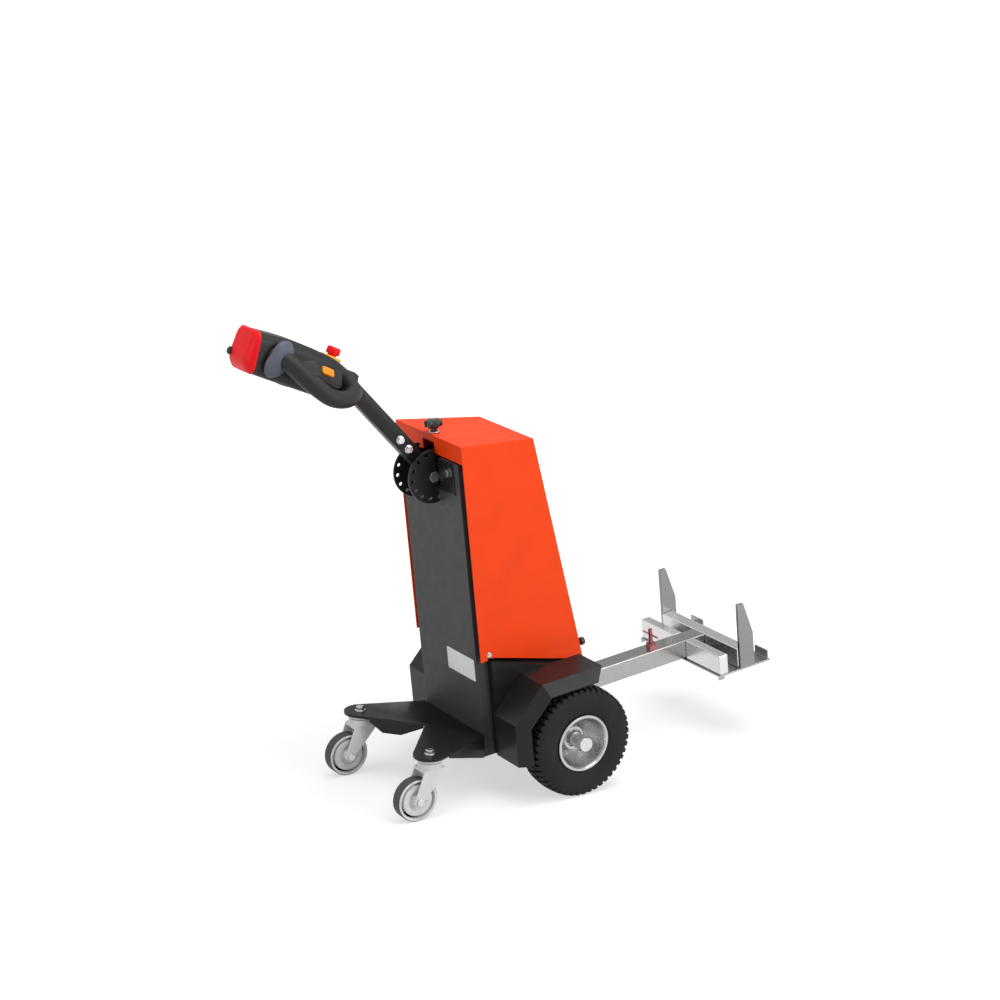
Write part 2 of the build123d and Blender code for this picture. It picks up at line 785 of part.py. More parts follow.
# Pivot bracket: wings on the panel, cheeks and a back plate in its cut-out, and two ears for the pin.
with BuildPart() as pivot_bracket:
    with BuildSketch(deck.offset(bracket_z[0])):
        with BuildLine():
            Polyline(
                (panel_x - bracket_wing, bracket_half),
                (panel_x, bracket_half),
                (panel_x, cheek_y[1]),
                (bracket_back[1], cheek_y[1]),
                (bracket_back[1], -cheek_y[1]),
                (panel_x, -cheek_y[1]),
                (panel_x, -bracket_half),
                (panel_x - bracket_wing, -bracket_half),
                (panel_x - bracket_wing, -cheek_y[0]),
                (bracket_back[0], -cheek_y[0]),
                (bracket_back[0], cheek_y[0]),
                (panel_x - bracket_wing, cheek_y[0]),
                close=True,
            )
        make_face()
    extrude(amount=bracket_z[1] - bracket_z[0])
    for hand in (-1, 1):
        with BuildSketch(side.offset(hand * ear_y[0])):
            with Locations((pivot_x, pivot_z)):
                Circle(ear_r)
            with BuildLine():
                Polyline(
                    (pivot_x, pivot_z + ear_r),
                    (bracket_back[0], pivot_z + ear_r),
                    (bracket_back[0], pivot_z - ear_r),
                    (pivot_x, pivot_z - ear_r),
                    close=True,
                )
            make_face()
        extrude(amount=hand * (ear_y[1] - ear_y[0]))
    with BuildSketch(side):
        with Locations((pivot_x, pivot_z)):
            Circle(pin_r)
    extrude(amount=ear_y[1], both=True, mode=Mode.SUBTRACT)
pivot_bracket.part.label = "pivot_bracket"
export_step(pivot_bracket.part, "parts/pivot_bracket.step")

# Index discs: one outside each ear, with a ring of holes for the tiller height.
for name, hand in hands:
    with BuildPart() as index_disc:
        with BuildSketch(side.offset(-hand * disc_y[0])):
            with Locations((pivot_x, pivot_z)):
                Circle(disc_r)
                Circle(pin_r, mode=Mode.SUBTRACT)
                with PolarLocations(disc_hole_ring, disc_holes):
                    Circle(disc_hole_r, mode=Mode.SUBTRACT)
        extrude(amount=-hand * (disc_y[1] - disc_y[0]))
        with BuildSketch(side.offset(-hand * disc_y[0])):
            with Locations((panel_x - 2 + disc_r, pivot_z)):
                Rectangle(2 * disc_r, 3 * disc_r)
        extrude(amount=-hand * (disc_y[1] - disc_y[0]), mode=Mode.SUBTRACT)
    index_disc.part.label = "index_disc_" + name
    export_step(index_disc.part, "parts/index_disc_" + name + ".step")

# Pivot pin through discs, ears and arm.
with BuildPart() as pivot_pin:
    with BuildSketch(side):
        with Locations((pivot_x, pivot_z)):
            Circle(pin_r)
    extrude(amount=disc_y[1], both=True)
    for hand in (-1, 1):
        with BuildSketch(side.offset(hand * disc_y[1])):
            with Locations((pivot_x, pivot_z)):
                RegularPolygon(1.7 * pin_r, 6)
        extrude(amount=hand * pin_r)
pivot_pin.part.label = "pivot_pin"
export_step(pivot_pin.part, "parts/pivot_pin.step")

# Tiller arm: flat tube from the pivot pin up to the head.
pivot = axle + body_x * pivot_x + body_z * pivot_z
arm_x = body_x * -cos(radians(tiller_angle)) + body_z * sin(radians(tiller_angle))
arm_side = Plane(origin=pivot, x_dir=arm_x, z_dir=(0, 1, 0))
head_start = axle + body_x * head_start_x + body_z * head_start_z
head_x = body_x * -cos(radians(head_slope)) + body_z * sin(radians(head_slope))
head_side = Plane(origin=head_start, x_dir=head_x, z_dir=(0, 1, 0))
head_up = head_side.y_dir
head_deck = Plane(origin=head_start, x_dir=head_x, z_dir=head_up)
lean = radians(tiller_angle - head_slope)
neck = (head_start - pivot).dot(head_x)
arm_low = (neck - arm_half_depth * sin(lean)) / cos(lean)
arm_high = (neck + arm_half_depth * sin(lean)) / cos(lean)
with BuildPart() as tiller_arm:
    with BuildSketch(arm_side):
        Circle(arm_half_depth)
        with BuildLine():
            Polyline(
                (0, -arm_half_depth),
                (arm_low, -arm_half_depth),
                (arm_high, arm_half_depth),
                (0, arm_half_depth),
                close=True,
            )
        make_face()
        Circle(pin_r + running_gap, mode=Mode.SUBTRACT)
    extrude(amount=arm_half_thick, both=True)
tiller_arm.part.label = "tiller_arm"
export_step(tiller_arm.part, "parts/tiller_arm.step")

# Tiller head: black housing, wider towards the nose.
with BuildPart() as tiller_head:
    with BuildSketch(head_side):
        with BuildLine():
            Polyline(
                (0, -66),
                (100, -79),
                (203, -86),
                (268, -86),
                (288, -24),
                (288, 0),
                (60, 0),
                (46, 10),
                (0, -2),
                close=True,
            )
        make_face()
    extrude(amount=head_half, both=True)
    with BuildSketch(head_deck.offset(-100)):
        with BuildLine():
            Polyline(
                (0, -head_neck_half),
                (head_shoulder, -head_half),
                (288, -head_half),
                (288, head_half),
                (head_shoulder, head_half),
                (0, head_neck_half),
                close=True,
            )
        make_face()
    extrude(amount=200, mode=Mode.INTERSECT)
tiller_head.part.label = "tiller_head"
export_step(tiller_head.part, "parts/tiller_head.step")

# Red belly switch that forms the nose of the head.
with BuildPart() as belly_switch:
    with BuildSketch(head_side):
        with BuildLine():
            Polyline(
                (268, -86),
                (282, -86),
                (303, -70),
                (314, -48),
                (314, -28),
                (304, -6),
                (288, 2),
                (288, -24),
                close=True,
            )
        make_face()
    extrude(amount=nose_half, both=True)
    with BuildSketch(head_deck.offset(-100)):
        with Locations((288 - nose_half, 0)):
            RectangleRounded(2 * nose_half + 2 * nose_corner, 2 * nose_half, nose_corner - 1)
    extrude(amount=200, mode=Mode.INTERSECT)
    with BuildSketch(Plane(origin=head_start, x_dir=(0, 1, 0), z_dir=head_x).offset(304)):
        with Locations((0, -nose_button[0])):
            Circle(nose_button[1])
    extrude(amount=50, mode=Mode.SUBTRACT)
belly_switch.part.label = "belly_switch"
export_step(belly_switch.part, "parts/belly_switch.step")

# Black push button in the middle of the belly switch.
with BuildPart() as belly_button:
    with BuildSketch(Plane(origin=head_start, x_dir=(0, 1, 0), z_dir=head_x).offset(304)):
        with Locations((0, -nose_button[0])):
            Circle(nose_button[1])
    extrude(amount=16)
belly_button.part.label = "belly_button"
export_step(belly_button.part, "parts/belly_button.step")

# Loop grips: one drooping closed loop on each side of the head.
with BuildPart() as grip_loops:
    for hand in (-1, 1):
        droop_out = Vector(0, hand, 0) * cos(radians(loop_droop)) - head_up * sin(radians(loop_droop))
        loop_plane = Plane(
            origin=head_start + head_up * loop_root_h + Vector(0, hand * loop_root_y, 0),
            x_dir=head_x,
            z_dir=head_x.cross(droop_out),
        )
        with BuildLine(loop_plane) as loop_path:
            FilletPolyline(
                (250, -44),
                (104, 90),
                (34, 28),
                (34, -44),
                radius=loop_fillet,
            )
        with BuildSketch(loop_path.line ^ 0):
            Circle(loop_r)
        sweep()
    add(tiller_head.part, mode=Mode.SUBTRACT)
    with BuildSketch(head_side):
        with Locations(thumb_centre):
            SlotOverall(thumb_size[0] + 8, thumb_size[1] + 8, rotation=thumb_tilt)
    extrude(amount=2 * head_half, both=True, mode=Mode.SUBTRACT)
grip_loops.part.label = "grip_loops"
export_step(grip_loops.part, "parts/grip_loops.step")

# Butterfly thumb switch: one wing on each side of the head.
with BuildPart() as thumb_switches:
    for hand in (-1, 1):
        with BuildSketch(head_side.offset(hand * head_half)):
            with Locations(thumb_centre):
                Circle(thumb_size[1] / 4)
        extrude(amount=hand * (thumb_y[0] - head_half))
        with BuildSketch(head_side.offset(hand * thumb_y[0])):
            with Locations(thumb_centre):
                SlotOverall(thumb_size[0], thumb_size[1], rotation=thumb_tilt)
        extrude(amount=hand * (thumb_y[1] - thumb_y[0]))
thumb_switches.part.label = "thumb_switches"
export_step(thumb_switches.part, "parts/thumb_switches.step")

# Horn buttons on both flanks of the head.
with BuildPart() as horn_buttons:
    for hand in (-1, 1):
        with BuildSketch(head_side.offset(hand * head_half)):
            with Locations(horn_centre):
                RectangleRounded(horn_size[0], horn_size[1], horn_height)
        extrude(amount=hand * horn_height)
horn_buttons.part.label = "horn_buttons"
export_step(horn_buttons.part, "parts/horn_buttons.step")

# Emergency stop: yellow base and red mushroom button on the head.
with BuildPart() as stop_base:
    with BuildSketch(head_deck):
        with Locations((stop_s, 0)):
            Circle(stop_base_r)
    extrude(amount=stop_base_h)
stop_base.part.label = "stop_base"
export_step(stop_base.part, "parts/stop_base.step")
with BuildPart() as stop_button:
    with BuildSketch(head_deck.offset(stop_base_h)):
        with Locations((stop_s, 0)):
            Circle(stop_button_r)
    extrude(amount=stop_button_h)
    fillet(stop_button.edges().group_by(Axis(head_start, head_up))[-1], 5)
stop_button.part.label = "stop_button"
export_step(stop_button.part, "parts/stop_button.step")
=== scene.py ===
import json
from math import acos, atan2, cos, hypot, pi, radians, sin, sqrt

import bmesh
import bpy
from mathutils import Matrix, Vector


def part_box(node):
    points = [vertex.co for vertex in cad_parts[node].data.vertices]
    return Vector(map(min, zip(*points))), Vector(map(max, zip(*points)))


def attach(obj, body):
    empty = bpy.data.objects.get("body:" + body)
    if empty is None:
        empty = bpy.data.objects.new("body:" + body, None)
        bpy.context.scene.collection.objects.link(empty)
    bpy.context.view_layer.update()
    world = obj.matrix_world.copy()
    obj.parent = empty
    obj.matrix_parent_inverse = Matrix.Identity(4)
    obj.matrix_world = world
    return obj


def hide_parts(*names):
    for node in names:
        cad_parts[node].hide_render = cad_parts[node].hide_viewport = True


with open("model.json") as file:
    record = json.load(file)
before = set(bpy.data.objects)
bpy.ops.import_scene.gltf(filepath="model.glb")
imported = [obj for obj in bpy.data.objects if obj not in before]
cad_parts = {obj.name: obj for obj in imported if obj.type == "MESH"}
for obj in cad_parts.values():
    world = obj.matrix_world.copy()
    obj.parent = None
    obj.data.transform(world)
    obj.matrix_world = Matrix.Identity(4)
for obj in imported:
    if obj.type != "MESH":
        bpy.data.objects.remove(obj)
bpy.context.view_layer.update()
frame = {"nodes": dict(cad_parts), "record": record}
nodes = frame["nodes"]
bpy.context.scene.view_settings.view_transform = "Standard"

# The tug's own frame
# The body leans on its castors about the drive axle, so trim on the body is placed in metres
# along, across and up from the axle, taken from the joints and the carrier bar's normal.
joint_place = {joint["name"]: Vector(joint["pos_m"]) for joint in frame["record"]["behaviour"]["joints"]}
bar_mount = [mount for mount in frame["record"]["mounts"] if mount["name"] == "carrier_bar_top"][0]
body_up = Vector(bar_mount["axis"]).normalized()
body_along = Vector((body_up.z, 0, -body_up.x))
axle = Vector((joint_place["drive_spin_right"].x, 0, joint_place["drive_spin_right"].z))
millimetre = 0.001


def on_body(along, across, up):
    return axle + body_along * along + Vector((0, across, 0)) + body_up * up


# Rear panel
# A tall folded steel channel that faces the operator, in finely textured grey powder coat.
# A blank aluminium plate is riveted low on its right half, and a web closes its upper cut-out
# below the tiller's bracket.
noise_low = 0.3
noise_high = 0.7


def new_material(name, colour, roughness, metallic=0.0):
    material = bpy.data.materials.new(name)
    material.use_nodes = True
    shader = material.node_tree.nodes["Principled BSDF"]
    shader.inputs["Base Color"].default_value = (*colour, 1)
    shader.inputs["Roughness"].default_value = roughness
    shader.inputs["Metallic"].default_value = metallic
    material.diffuse_color = (*colour, 1)
    return material, material.node_tree, shader


def add_noise(tree, scale, detail=3.0, stretch=(1, 1, 1)):
    place = tree.nodes.new("ShaderNodeTexCoord")
    mapping = tree.nodes.new("ShaderNodeMapping")
    mapping.inputs["Scale"].default_value = stretch
    noise = tree.nodes.new("ShaderNodeTexNoise")
    noise.inputs["Scale"].default_value = scale
    noise.inputs["Detail"].default_value = detail
    tree.links.new(place.outputs["Object"], mapping.inputs["Vector"])
    tree.links.new(mapping.outputs["Vector"], noise.inputs["Vector"])
    return noise.outputs["Fac"]


def add_range(tree, value, low, high):
    remap = tree.nodes.new("ShaderNodeMapRange")
    remap.inputs["From Min"].default_value = noise_low
    remap.inputs["From Max"].default_value = noise_high
    remap.inputs["To Min"].default_value = low
    remap.inputs["To Max"].default_value = high
    tree.links.new(value, remap.inputs["Value"])
    return remap.outputs["Result"]


def add_colours(tree, shader, value, first, second):
    mix = tree.nodes.new("ShaderNodeMix")
    mix.data_type = "RGBA"
    mix.inputs["A"].default_value = (*first, 1)
    mix.inputs["B"].default_value = (*second, 1)
    tree.links.new(value, mix.inputs["Factor"])
    tree.links.new(mix.outputs["Result"], shader.inputs["Base Color"])


def add_bump(tree, shader, value, height, strength=1.0):
    bump = tree.nodes.new("ShaderNodeBump")
    bump.inputs["Distance"].default_value = height
    bump.inputs["Strength"].default_value = strength
    tree.links.new(value, bump.inputs["Height"])
    tree.links.new(bump.outputs["Normal"], shader.inputs["Normal"])


def shade(colour, factor):
    return tuple(channel * factor for channel in colour)


coat_blotch = 9.0
coat_gloss = 40.0
coat_grain = 700.0
coat_shades = (0.93, 1.05)
coat_gloss_spread = 0.05
coat_grain_strength = 0.35
coat_specular = 0.22


def powder_coat(name, colour, roughness, grain_height):
    material, tree, shader = new_material(name, colour, roughness)
    blotch = add_range(tree, add_noise(tree, coat_blotch), 0.0, 1.0)
    add_colours(tree, shader, blotch, *(shade(colour, factor) for factor in coat_shades))
    matt = roughness + coat_gloss_spread
    gloss = add_range(tree, add_noise(tree, coat_gloss), roughness - coat_gloss_spread, matt)
    tree.links.new(gloss, shader.inputs["Roughness"])
    add_bump(tree, shader, add_noise(tree, coat_grain, 2.0), grain_height, coat_grain_strength)
    shader.inputs["Specular IOR Level"].default_value = coat_specular
    return material


def dress(material, *names):
    for name in names:
        nodes[name].data.materials.clear()
        nodes[name].data.materials.append(material)


weld_gap = 0.00002
flat_angle = radians(0.6)
fold_angle = radians(28)


def round_folds(width, *names, steps=3):
    for name in names:
        weld = nodes[name].modifiers.new("joined faces", "WELD")
        weld.merge_threshold = weld_gap
        flat = nodes[name].modifiers.new("whole flats", "DECIMATE")
        flat.decimate_type = "DISSOLVE"
        flat.angle_limit = flat_angle
        bevel = nodes[name].modifiers.new("rounded folds", "BEVEL")
        bevel.width = width
        bevel.segments = steps
        bevel.limit_method = "ANGLE"
        bevel.angle_limit = fold_angle
        bevel.harden_normals = True


panel_fold = 0.001
panel_grey = powder_coat("grey_textured_coat", (0.05, 0.05, 0.0515), 0.5, 0.0002)
dress(panel_grey, "rear_panel")
round_folds(panel_fold, "rear_panel")


def finish_piece(name, mesh, body, material):
    data = bpy.data.meshes.new(name)
    mesh.to_mesh(data)
    mesh.free()
    data.materials.append(material)
    piece = bpy.data.objects.new(name, data)
    bpy.context.collection.objects.link(piece)
    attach(piece, body)
    return piece


def facing(place, axis, across=Vector((0, 1, 0))):
    up = axis.normalized()
    if abs(up.dot(across)) > 0.9:
        across = Vector((1, 0, 0))
    side = (across - up * across.dot(up)).normalized()
    return Matrix.Translation(place) @ Matrix((side, up.cross(side), up)).transposed().to_4x4()


def skin(mesh, rings, smooth=False):
    faces = []
    for low, high in zip(rings, rings[1:]):
        for step in range(len(low)):
            after = (step + 1) % len(low)
            face = mesh.faces.new((low[step], low[after], high[after], high[step]))
            face.smooth = smooth
            faces.append(face)
    faces.append(mesh.faces.new(list(reversed(rings[0]))))
    faces.append(mesh.faces.new(rings[-1]))
    return faces


def turned(mesh, profile, sides, matrix, smooth=True):
    rings = []
    for radius, height in profile:
        ring = []
        for step in range(sides):
            angle = 2 * pi * step / sides
            ring.append(mesh.verts.new(matrix @ Vector((radius * cos(angle), radius * sin(angle), height))))
        rings.append(ring)
    skin(mesh, rings, smooth)


def rounded_ring(half, top, bottom, corner, steps=8):
    high = top - corner
    low = bottom + corner
    ring = []
    for side, middle, start in ((1, high, 0), (-1, high, 90), (-1, low, 180), (1, low, 270)):
        for step in range(steps + 1):
            angle = radians(start + step * 90 / steps)
            ring.append((side * (half - corner) + corner * cos(angle), middle + corner * sin(angle)))
    return ring


def rounded_plate(mesh, size, corner, thickness, edge, matrix):
    rings = []
    for inset, level in (
        (0, 0),
        (0, thickness - edge),
        (edge * 0.3, thickness - edge * 0.3),
        (edge, thickness),
    ):
        half = size[0] / 2 - inset
        top = size[1] / 2 - inset
        spots = rounded_ring(half, top, -top, corner - inset, 5)
        rings.append([mesh.verts.new(matrix @ Vector((x, y, level))) for x, y in spots])
    skin(mesh, rings)


def bevelled_prism(mesh, outline, low, high, edge_round, place):
    rings = [[mesh.verts.new(place(u, v, level)) for u, v in outline] for level in (low, high)]
    faces = skin(mesh, rings)
    edges = list(dict.fromkeys(edge for face in faces for edge in face.edges))
    bmesh.ops.bevel(
        mesh, geom=edges, offset=edge_round, segments=2, profile=0.5, affect="EDGES", clamp_overlap=True
    )


def sharpen(mesh, degrees):
    bmesh.ops.recalc_face_normals(mesh, faces=mesh.faces)
    for face in mesh.faces:
        face.smooth = True
    for edge in mesh.edges:
        if len(edge.link_faces) == 2 and edge.calc_face_angle() > radians(degrees):
            edge.smooth = False


panel_face = -0.189
plate_size = (0.1174, 0.0525)
plate_corner = 0.003
plate_thickness = 0.0009
plate_edge = 0.0003
plate_middle = on_body(panel_face, -0.0579, 0.1932)
plate_aluminium = powder_coat("pale_anodised_plate", (0.93, 0.93, 0.93), 0.5, 0.0003)
plate_mesh = bmesh.new()
plate_matrix = facing(plate_middle, -body_along)
rounded_plate(plate_mesh, plate_size, plate_corner, plate_thickness, plate_edge, plate_matrix)
finish_piece("blank_plate", plate_mesh, "chassis", plate_aluminium)
rivet_inset = 0.006
rivet_sides = 16
rivet_dome = ((0.0026, 0.0), (0.0025, 0.0006), (0.0018, 0.0013), (0.0006, 0.0016))
rivet_mesh = bmesh.new()
for side_step in (-1, 1):
    for up_step in (-1, 1):
        spot = plate_middle + Vector((0, side_step * (plate_size[0] / 2 - rivet_inset), 0))
        spot += body_up * (up_step * (plate_size[1] / 2 - rivet_inset)) - body_along * plate_thickness
        turned(rivet_mesh, rivet_dome, rivet_sides, facing(spot, -body_along))
finish_piece("plate_rivets", rivet_mesh, "chassis", plate_aluminium)

sheet_crease = 30
web_edge = 0.0003
web_half = 0.052
web_low = 0.570
web_high = 0.614
web_outer = panel_face + 0.0004
web_inner = panel_face + 0.0025
web_outline = ((-web_half, web_low), (web_half, web_low), (web_half, web_high), (-web_half, web_high))
web_mesh = bmesh.new()
bevelled_prism(
    web_mesh, web_outline, web_outer, web_inner, web_edge,
    lambda across, up, along: on_body(along, across, up),
)
sharpen(web_mesh, sheet_crease)
finish_piece("panel_web", web_mesh, "chassis", panel_grey)

# Chassis tray, castor plate and wheel guards
# Folded and welded sheet steel in satin black powder coat. The guards have a bevelled lip round
# the tyre. The castor plate is a level sheet with two round ears, a hexagon bolt over each castor
# and folded flanges under its edges.
tray_fold = 0.0018
guard_fold = 0.0012
chassis_black = powder_coat("satin_black_coat", (0.012, 0.012, 0.0124), 0.36, 0.00008)
dress(chassis_black, "chassis_tray", "guard_right", "guard_left")
round_folds(tray_fold, "chassis_tray")
round_folds(guard_fold, "guard_right", "guard_left")


streak_scale = 60.0
streak_shades = (0.9, 1.06)
streak_gloss = (-0.06, 0.08)
scratch_strength = 0.25


def brushed_metal(name, colour, roughness, stretch, scratch=0.0001):
    material, tree, shader = new_material(name, colour, roughness, 1.0)
    streaks = add_noise(tree, streak_scale, 4.0, stretch)
    grain = add_range(tree, streaks, 0.0, 1.0)
    add_colours(tree, shader, grain, *(shade(colour, factor) for factor in streak_shades))
    gloss = add_range(tree, streaks, *(roughness + change for change in streak_gloss))
    tree.links.new(gloss, shader.inputs["Roughness"])
    add_bump(tree, shader, streaks, scratch, scratch_strength)
    return material


zinc_bright = brushed_metal("bright_zinc", (0.62, 0.62, 0.63), 0.28, (1, 1, 6))


def hexagon_bolt(mesh, place, axis, across_flats, height, washer):
    corner = across_flats / sqrt(3)
    seat = washer * 0.12
    matrix = facing(place, axis)
    turned(mesh, ((washer, 0), (washer, seat * 0.7), (washer * 0.95, seat)), 32, matrix)
    head = (
        (corner * 0.98, seat),
        (corner, seat + height * 0.08),
        (corner, seat + height * 0.82),
        (corner * 0.88, seat + height),
    )
    turned(mesh, head, 6, matrix, False)


castor_bolt = (0.017, 0.0085, 0.0125)
plate_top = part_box("castor_plate")[1].z
bolt_mesh = bmesh.new()
for hand in ("right", "left"):
    over_castor = joint_place["castor_swivel_" + hand].copy()
    over_castor.z = plate_top
    hexagon_bolt(bolt_mesh, over_castor, Vector((0, 0, 1)), *castor_bolt)
finish_piece("castor_bolts", bolt_mesh, "chassis", zinc_bright)

vee_apex = (-0.268, 0.0)
ear_inner = (-0.371, 0.1261)
plate_root = (-0.192, 0.1325)
ear_outer = (-0.3368, 0.1926)
vee_flange = ((0.04, 0.009), (0.38, 0.033), (0.66, 0.033), (0.86, 0.009))
outer_flange = ((0.0, 0.052), (0.84, 0.009))
flange_sheet = 0.004
flange_edge = 0.0008
flange_sink = 0.003
flange_top = plate_top - flange_sink
flange_mesh = bmesh.new()
for hand in (-1, 1):
    for first, last, depths, inward in (
        (vee_apex, ear_inner, vee_flange, -hand),
        (plate_root, ear_outer, outer_flange, hand),
    ):
        begin = Vector((axle.x + first[0], hand * first[1], flange_top))
        reach = Vector((axle.x + last[0], hand * last[1], flange_top)) - begin
        sideways = Vector((0, 0, 1)).cross(reach).normalized() * inward
        outline = [(depths[-1][0], 0.0), (depths[0][0], 0.0)] + list(depths)
        bevelled_prism(
            flange_mesh, outline, 0.0, flange_sheet, flange_edge,
            lambda share, depth, level: begin + reach * share - Vector((0, 0, depth)) + sideways * level,
        )
sharpen(flange_mesh, sheet_crease)
finish_piece("plate_flanges", flange_mesh, "chassis", chassis_black)

ear_middle = (-0.352, 0.1584)
ear_radius = 0.038
ear_steps = 18
plate_sheet = 0.006
plate_rim = 0.0012


def touch_angle(spot, turn):
    along = spot[0] - ear_middle[0]
    across = spot[1] - ear_middle[1]
    return atan2(across, along) + turn * acos(ear_radius / hypot(along, across))


outer_touch = touch_angle(plate_root, 1)
inner_touch = touch_angle(vee_apex, -1) + 2 * pi
half_outline = [plate_root]
for step in range(ear_steps + 1):
    angle = outer_touch + (inner_touch - outer_touch) * step / ear_steps
    half_outline.append((ear_middle[0] + ear_radius * cos(angle), ear_middle[1] + ear_radius * sin(angle)))
plate_outline = half_outline + [vee_apex] + [(along, -across) for along, across in reversed(half_outline)]
level_mesh = bmesh.new()
bevelled_prism(
    level_mesh, plate_outline, plate_top - plate_sheet, plate_top, plate_rim,
    lambda along, across, up: Vector((axle.x + along, across, up)),
)
sharpen(level_mesh, sheet_crease)
level_piece = finish_piece("level_plate", level_mesh, "chassis", chassis_black)
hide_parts("castor_plate")

# Hood
# One tapered cover of folded sheet steel in smooth orange powder coat, open below and behind.
# A small plated screw holds each of its sides to the chassis near the lower rear corner.
hood_fold = 0.0022
hood_orange = powder_coat("orange_coat", (1.0, 0.062, 0.002), 0.5, 0.00006)
dress(hood_orange, "hood")
round_folds(hood_fold, "hood")

hood_rear = -0.186
hood_side = 0.1429
hood_taper = 0.1426
screw_along = -0.161
screw_up = 0.231
screw_sink = 0.001
hood_screw = (0.008, 0.004, 0.007)
hood_screw_mesh = bmesh.new()
for hand in (-1, 1):
    out = Vector((0, hand, 0)) + body_along * hood_taper
    half = hood_side - hood_taper * (screw_along - hood_rear)
    screw_spot = on_body(screw_along, hand * (half - screw_sink), screw_up)
    hexagon_bolt(hood_screw_mesh, screw_spot, out, *hood_screw)
finish_piece("hood_screws", hood_screw_mesh, "chassis", zinc_bright)

# Star knob
# A black lobed thermoset knob on a plated washer, which clamps the hood to the panel from above.
# Two small round knobs of the same black plastic hold the hood's front edge.
plastic_patch = 30.0
plastic_grain = 900.0
plastic_shades = (0.92, 1.06)
plastic_grain_strength = 0.4
plastic_specular = 0.25
lacquer_roughness = 0.12


def moulded_plastic(name, colour, roughness, grain=0.00015, coat=0.0):
    material, tree, shader = new_material(name, colour, roughness)
    patches = add_range(tree, add_noise(tree, plastic_patch), 0.0, 1.0)
    add_colours(tree, shader, patches, *(shade(colour, factor) for factor in plastic_shades))
    add_bump(tree, shader, add_noise(tree, plastic_grain, 2.0), grain, plastic_grain_strength)
    shader.inputs["Specular IOR Level"].default_value = plastic_specular
    shader.inputs["Coat Weight"].default_value = coat
    shader.inputs["Coat Roughness"].default_value = lacquer_roughness
    return material


knob_black = moulded_plastic("black_thermoset", (0.012, 0.012, 0.0125), 0.22, 0.00005, 0.4)
knob_foot = on_body(-0.1687, 0, 0.7311)
knob_upright = facing(knob_foot, body_up)
knob_washer_form = ((0.0115, -0.001), (0.0115, 0.0018), (0.0108, 0.0025), (0.009, 0.0027))
knob_stem_form = ((0.0085, 0.0025), (0.008, 0.006), (0.008, 0.011), (0.0095, 0.0145))
knob_star_form = (
    (0.010, 0.0125), (0.0172, 0.0135), (0.0182, 0.0155), (0.0182, 0.025), (0.0172, 0.0272), (0.009, 0.0285),
)
knob_sides = 40
star_sides = 96
knob_lobes = 6
lobe_depth = 0.15
knob_crease = 40
lobe_start = 0.012
washer_mesh = bmesh.new()
turned(washer_mesh, knob_washer_form, knob_sides, knob_upright)
finish_piece("knob_washer", washer_mesh, "chassis", zinc_bright)
star_mesh = bmesh.new()
turned(star_mesh, knob_stem_form, knob_sides, knob_upright)
turned(star_mesh, knob_star_form, star_sides, knob_upright)
for corner in star_mesh.verts:
    out = corner.co - knob_foot
    level = out.dot(body_up)
    if level > lobe_start:
        flat = out - body_up * level
        angle = atan2(flat.dot(body_along), flat.y)
        corner.co = knob_foot + body_up * level + flat * (1 + lobe_depth * cos(knob_lobes * angle))
sharpen(star_mesh, knob_crease)
star_piece = finish_piece("lobed_knob", star_mesh, "chassis", knob_black)
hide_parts("star_knob")
front_knob_sides = 28
front_knob_place = (0.1053, 0.0915, 0.169)
front_knob_form = (
    (0.0045, 0), (0.0045, 0.006), (0.009, 0.007), (0.0095, 0.009), (0.0095, 0.015), (0.0085, 0.0165),
)
front_knob_mesh = bmesh.new()
for hand in (-1, 1):
    knob_spot = on_body(front_knob_place[0], hand * front_knob_place[1], front_knob_place[2])
    turned(front_knob_mesh, front_knob_form, front_knob_sides, facing(knob_spot, body_along))
finish_piece("front_knobs", front_knob_mesh, "chassis", knob_black)

# Drive wheels
# Pneumatic tyres with block tread on pressed-steel rims with a deep dish. A plated drive shaft with
# a round end stands out past the rim. The rim and shaft forms are in millimetres: radius, then the
# distance out from the wheel's middle.
tyre_radius = 0.130
tread_half = 0.031
shoulder_radius = 0.127
bulge_half = 0.037
bulge_radius = 0.098
bead_radius = 0.067
bore_radius = 0.0602
bead_rib = 0.0009
bead_rib_inner = 0.071
bead_rib_outer = 0.077
lug_start = 0.112
side_steps = 18
tread_pitches = 48
tread_depth = 0.005
tread_marks = (0.0, 0.02, 0.17, 0.32, 0.34, 0.42, 0.5, 0.52, 0.64, 0.76, 0.78, 0.89)
tread_shift = 0.98
shoulder_gap = 0.34
middle_gap = 0.28
ring_grooves = (-0.42, 0.42)
ring_groove_half = 0.07
groove_wall = 0.012


def arc_through(first, middle, last, steps):
    ax, ay = first
    bx, by = middle
    cx, cy = last
    double = 2 * (ax * (by - cy) + bx * (cy - ay) + cx * (ay - by))
    first_square = ax * ax + ay * ay
    middle_square = bx * bx + by * by
    last_square = cx * cx + cy * cy
    ox = (first_square * (by - cy) + middle_square * (cy - ay) + last_square * (ay - by)) / double
    oy = (first_square * (cx - bx) + middle_square * (ax - cx) + last_square * (bx - ax)) / double
    radius = hypot(ax - ox, ay - oy)
    start = atan2(ay - oy, ax - ox)
    turn = (atan2(cy - oy, cx - ox) - start + pi) % (2 * pi) - pi
    return [
        (ox + radius * cos(start + turn * step / steps), oy + radius * sin(start + turn * step / steps))
        for step in range(steps + 1)
    ]


def tread_drop(share, across):
    if any(abs(across - groove) < ring_groove_half for groove in ring_grooves):
        return tread_depth
    if abs(across) < ring_grooves[1]:
        in_gap = (share + 0.5) % 1.0 < middle_gap
    else:
        in_gap = share % 1.0 < shoulder_gap
    return tread_depth if in_gap else 0.0


def sidewall_drop(share, radius):
    if radius < lug_start or share % 1.0 >= shoulder_gap:
        return 0.0
    return tread_depth * (radius - lug_start) / (shoulder_radius - lug_start)


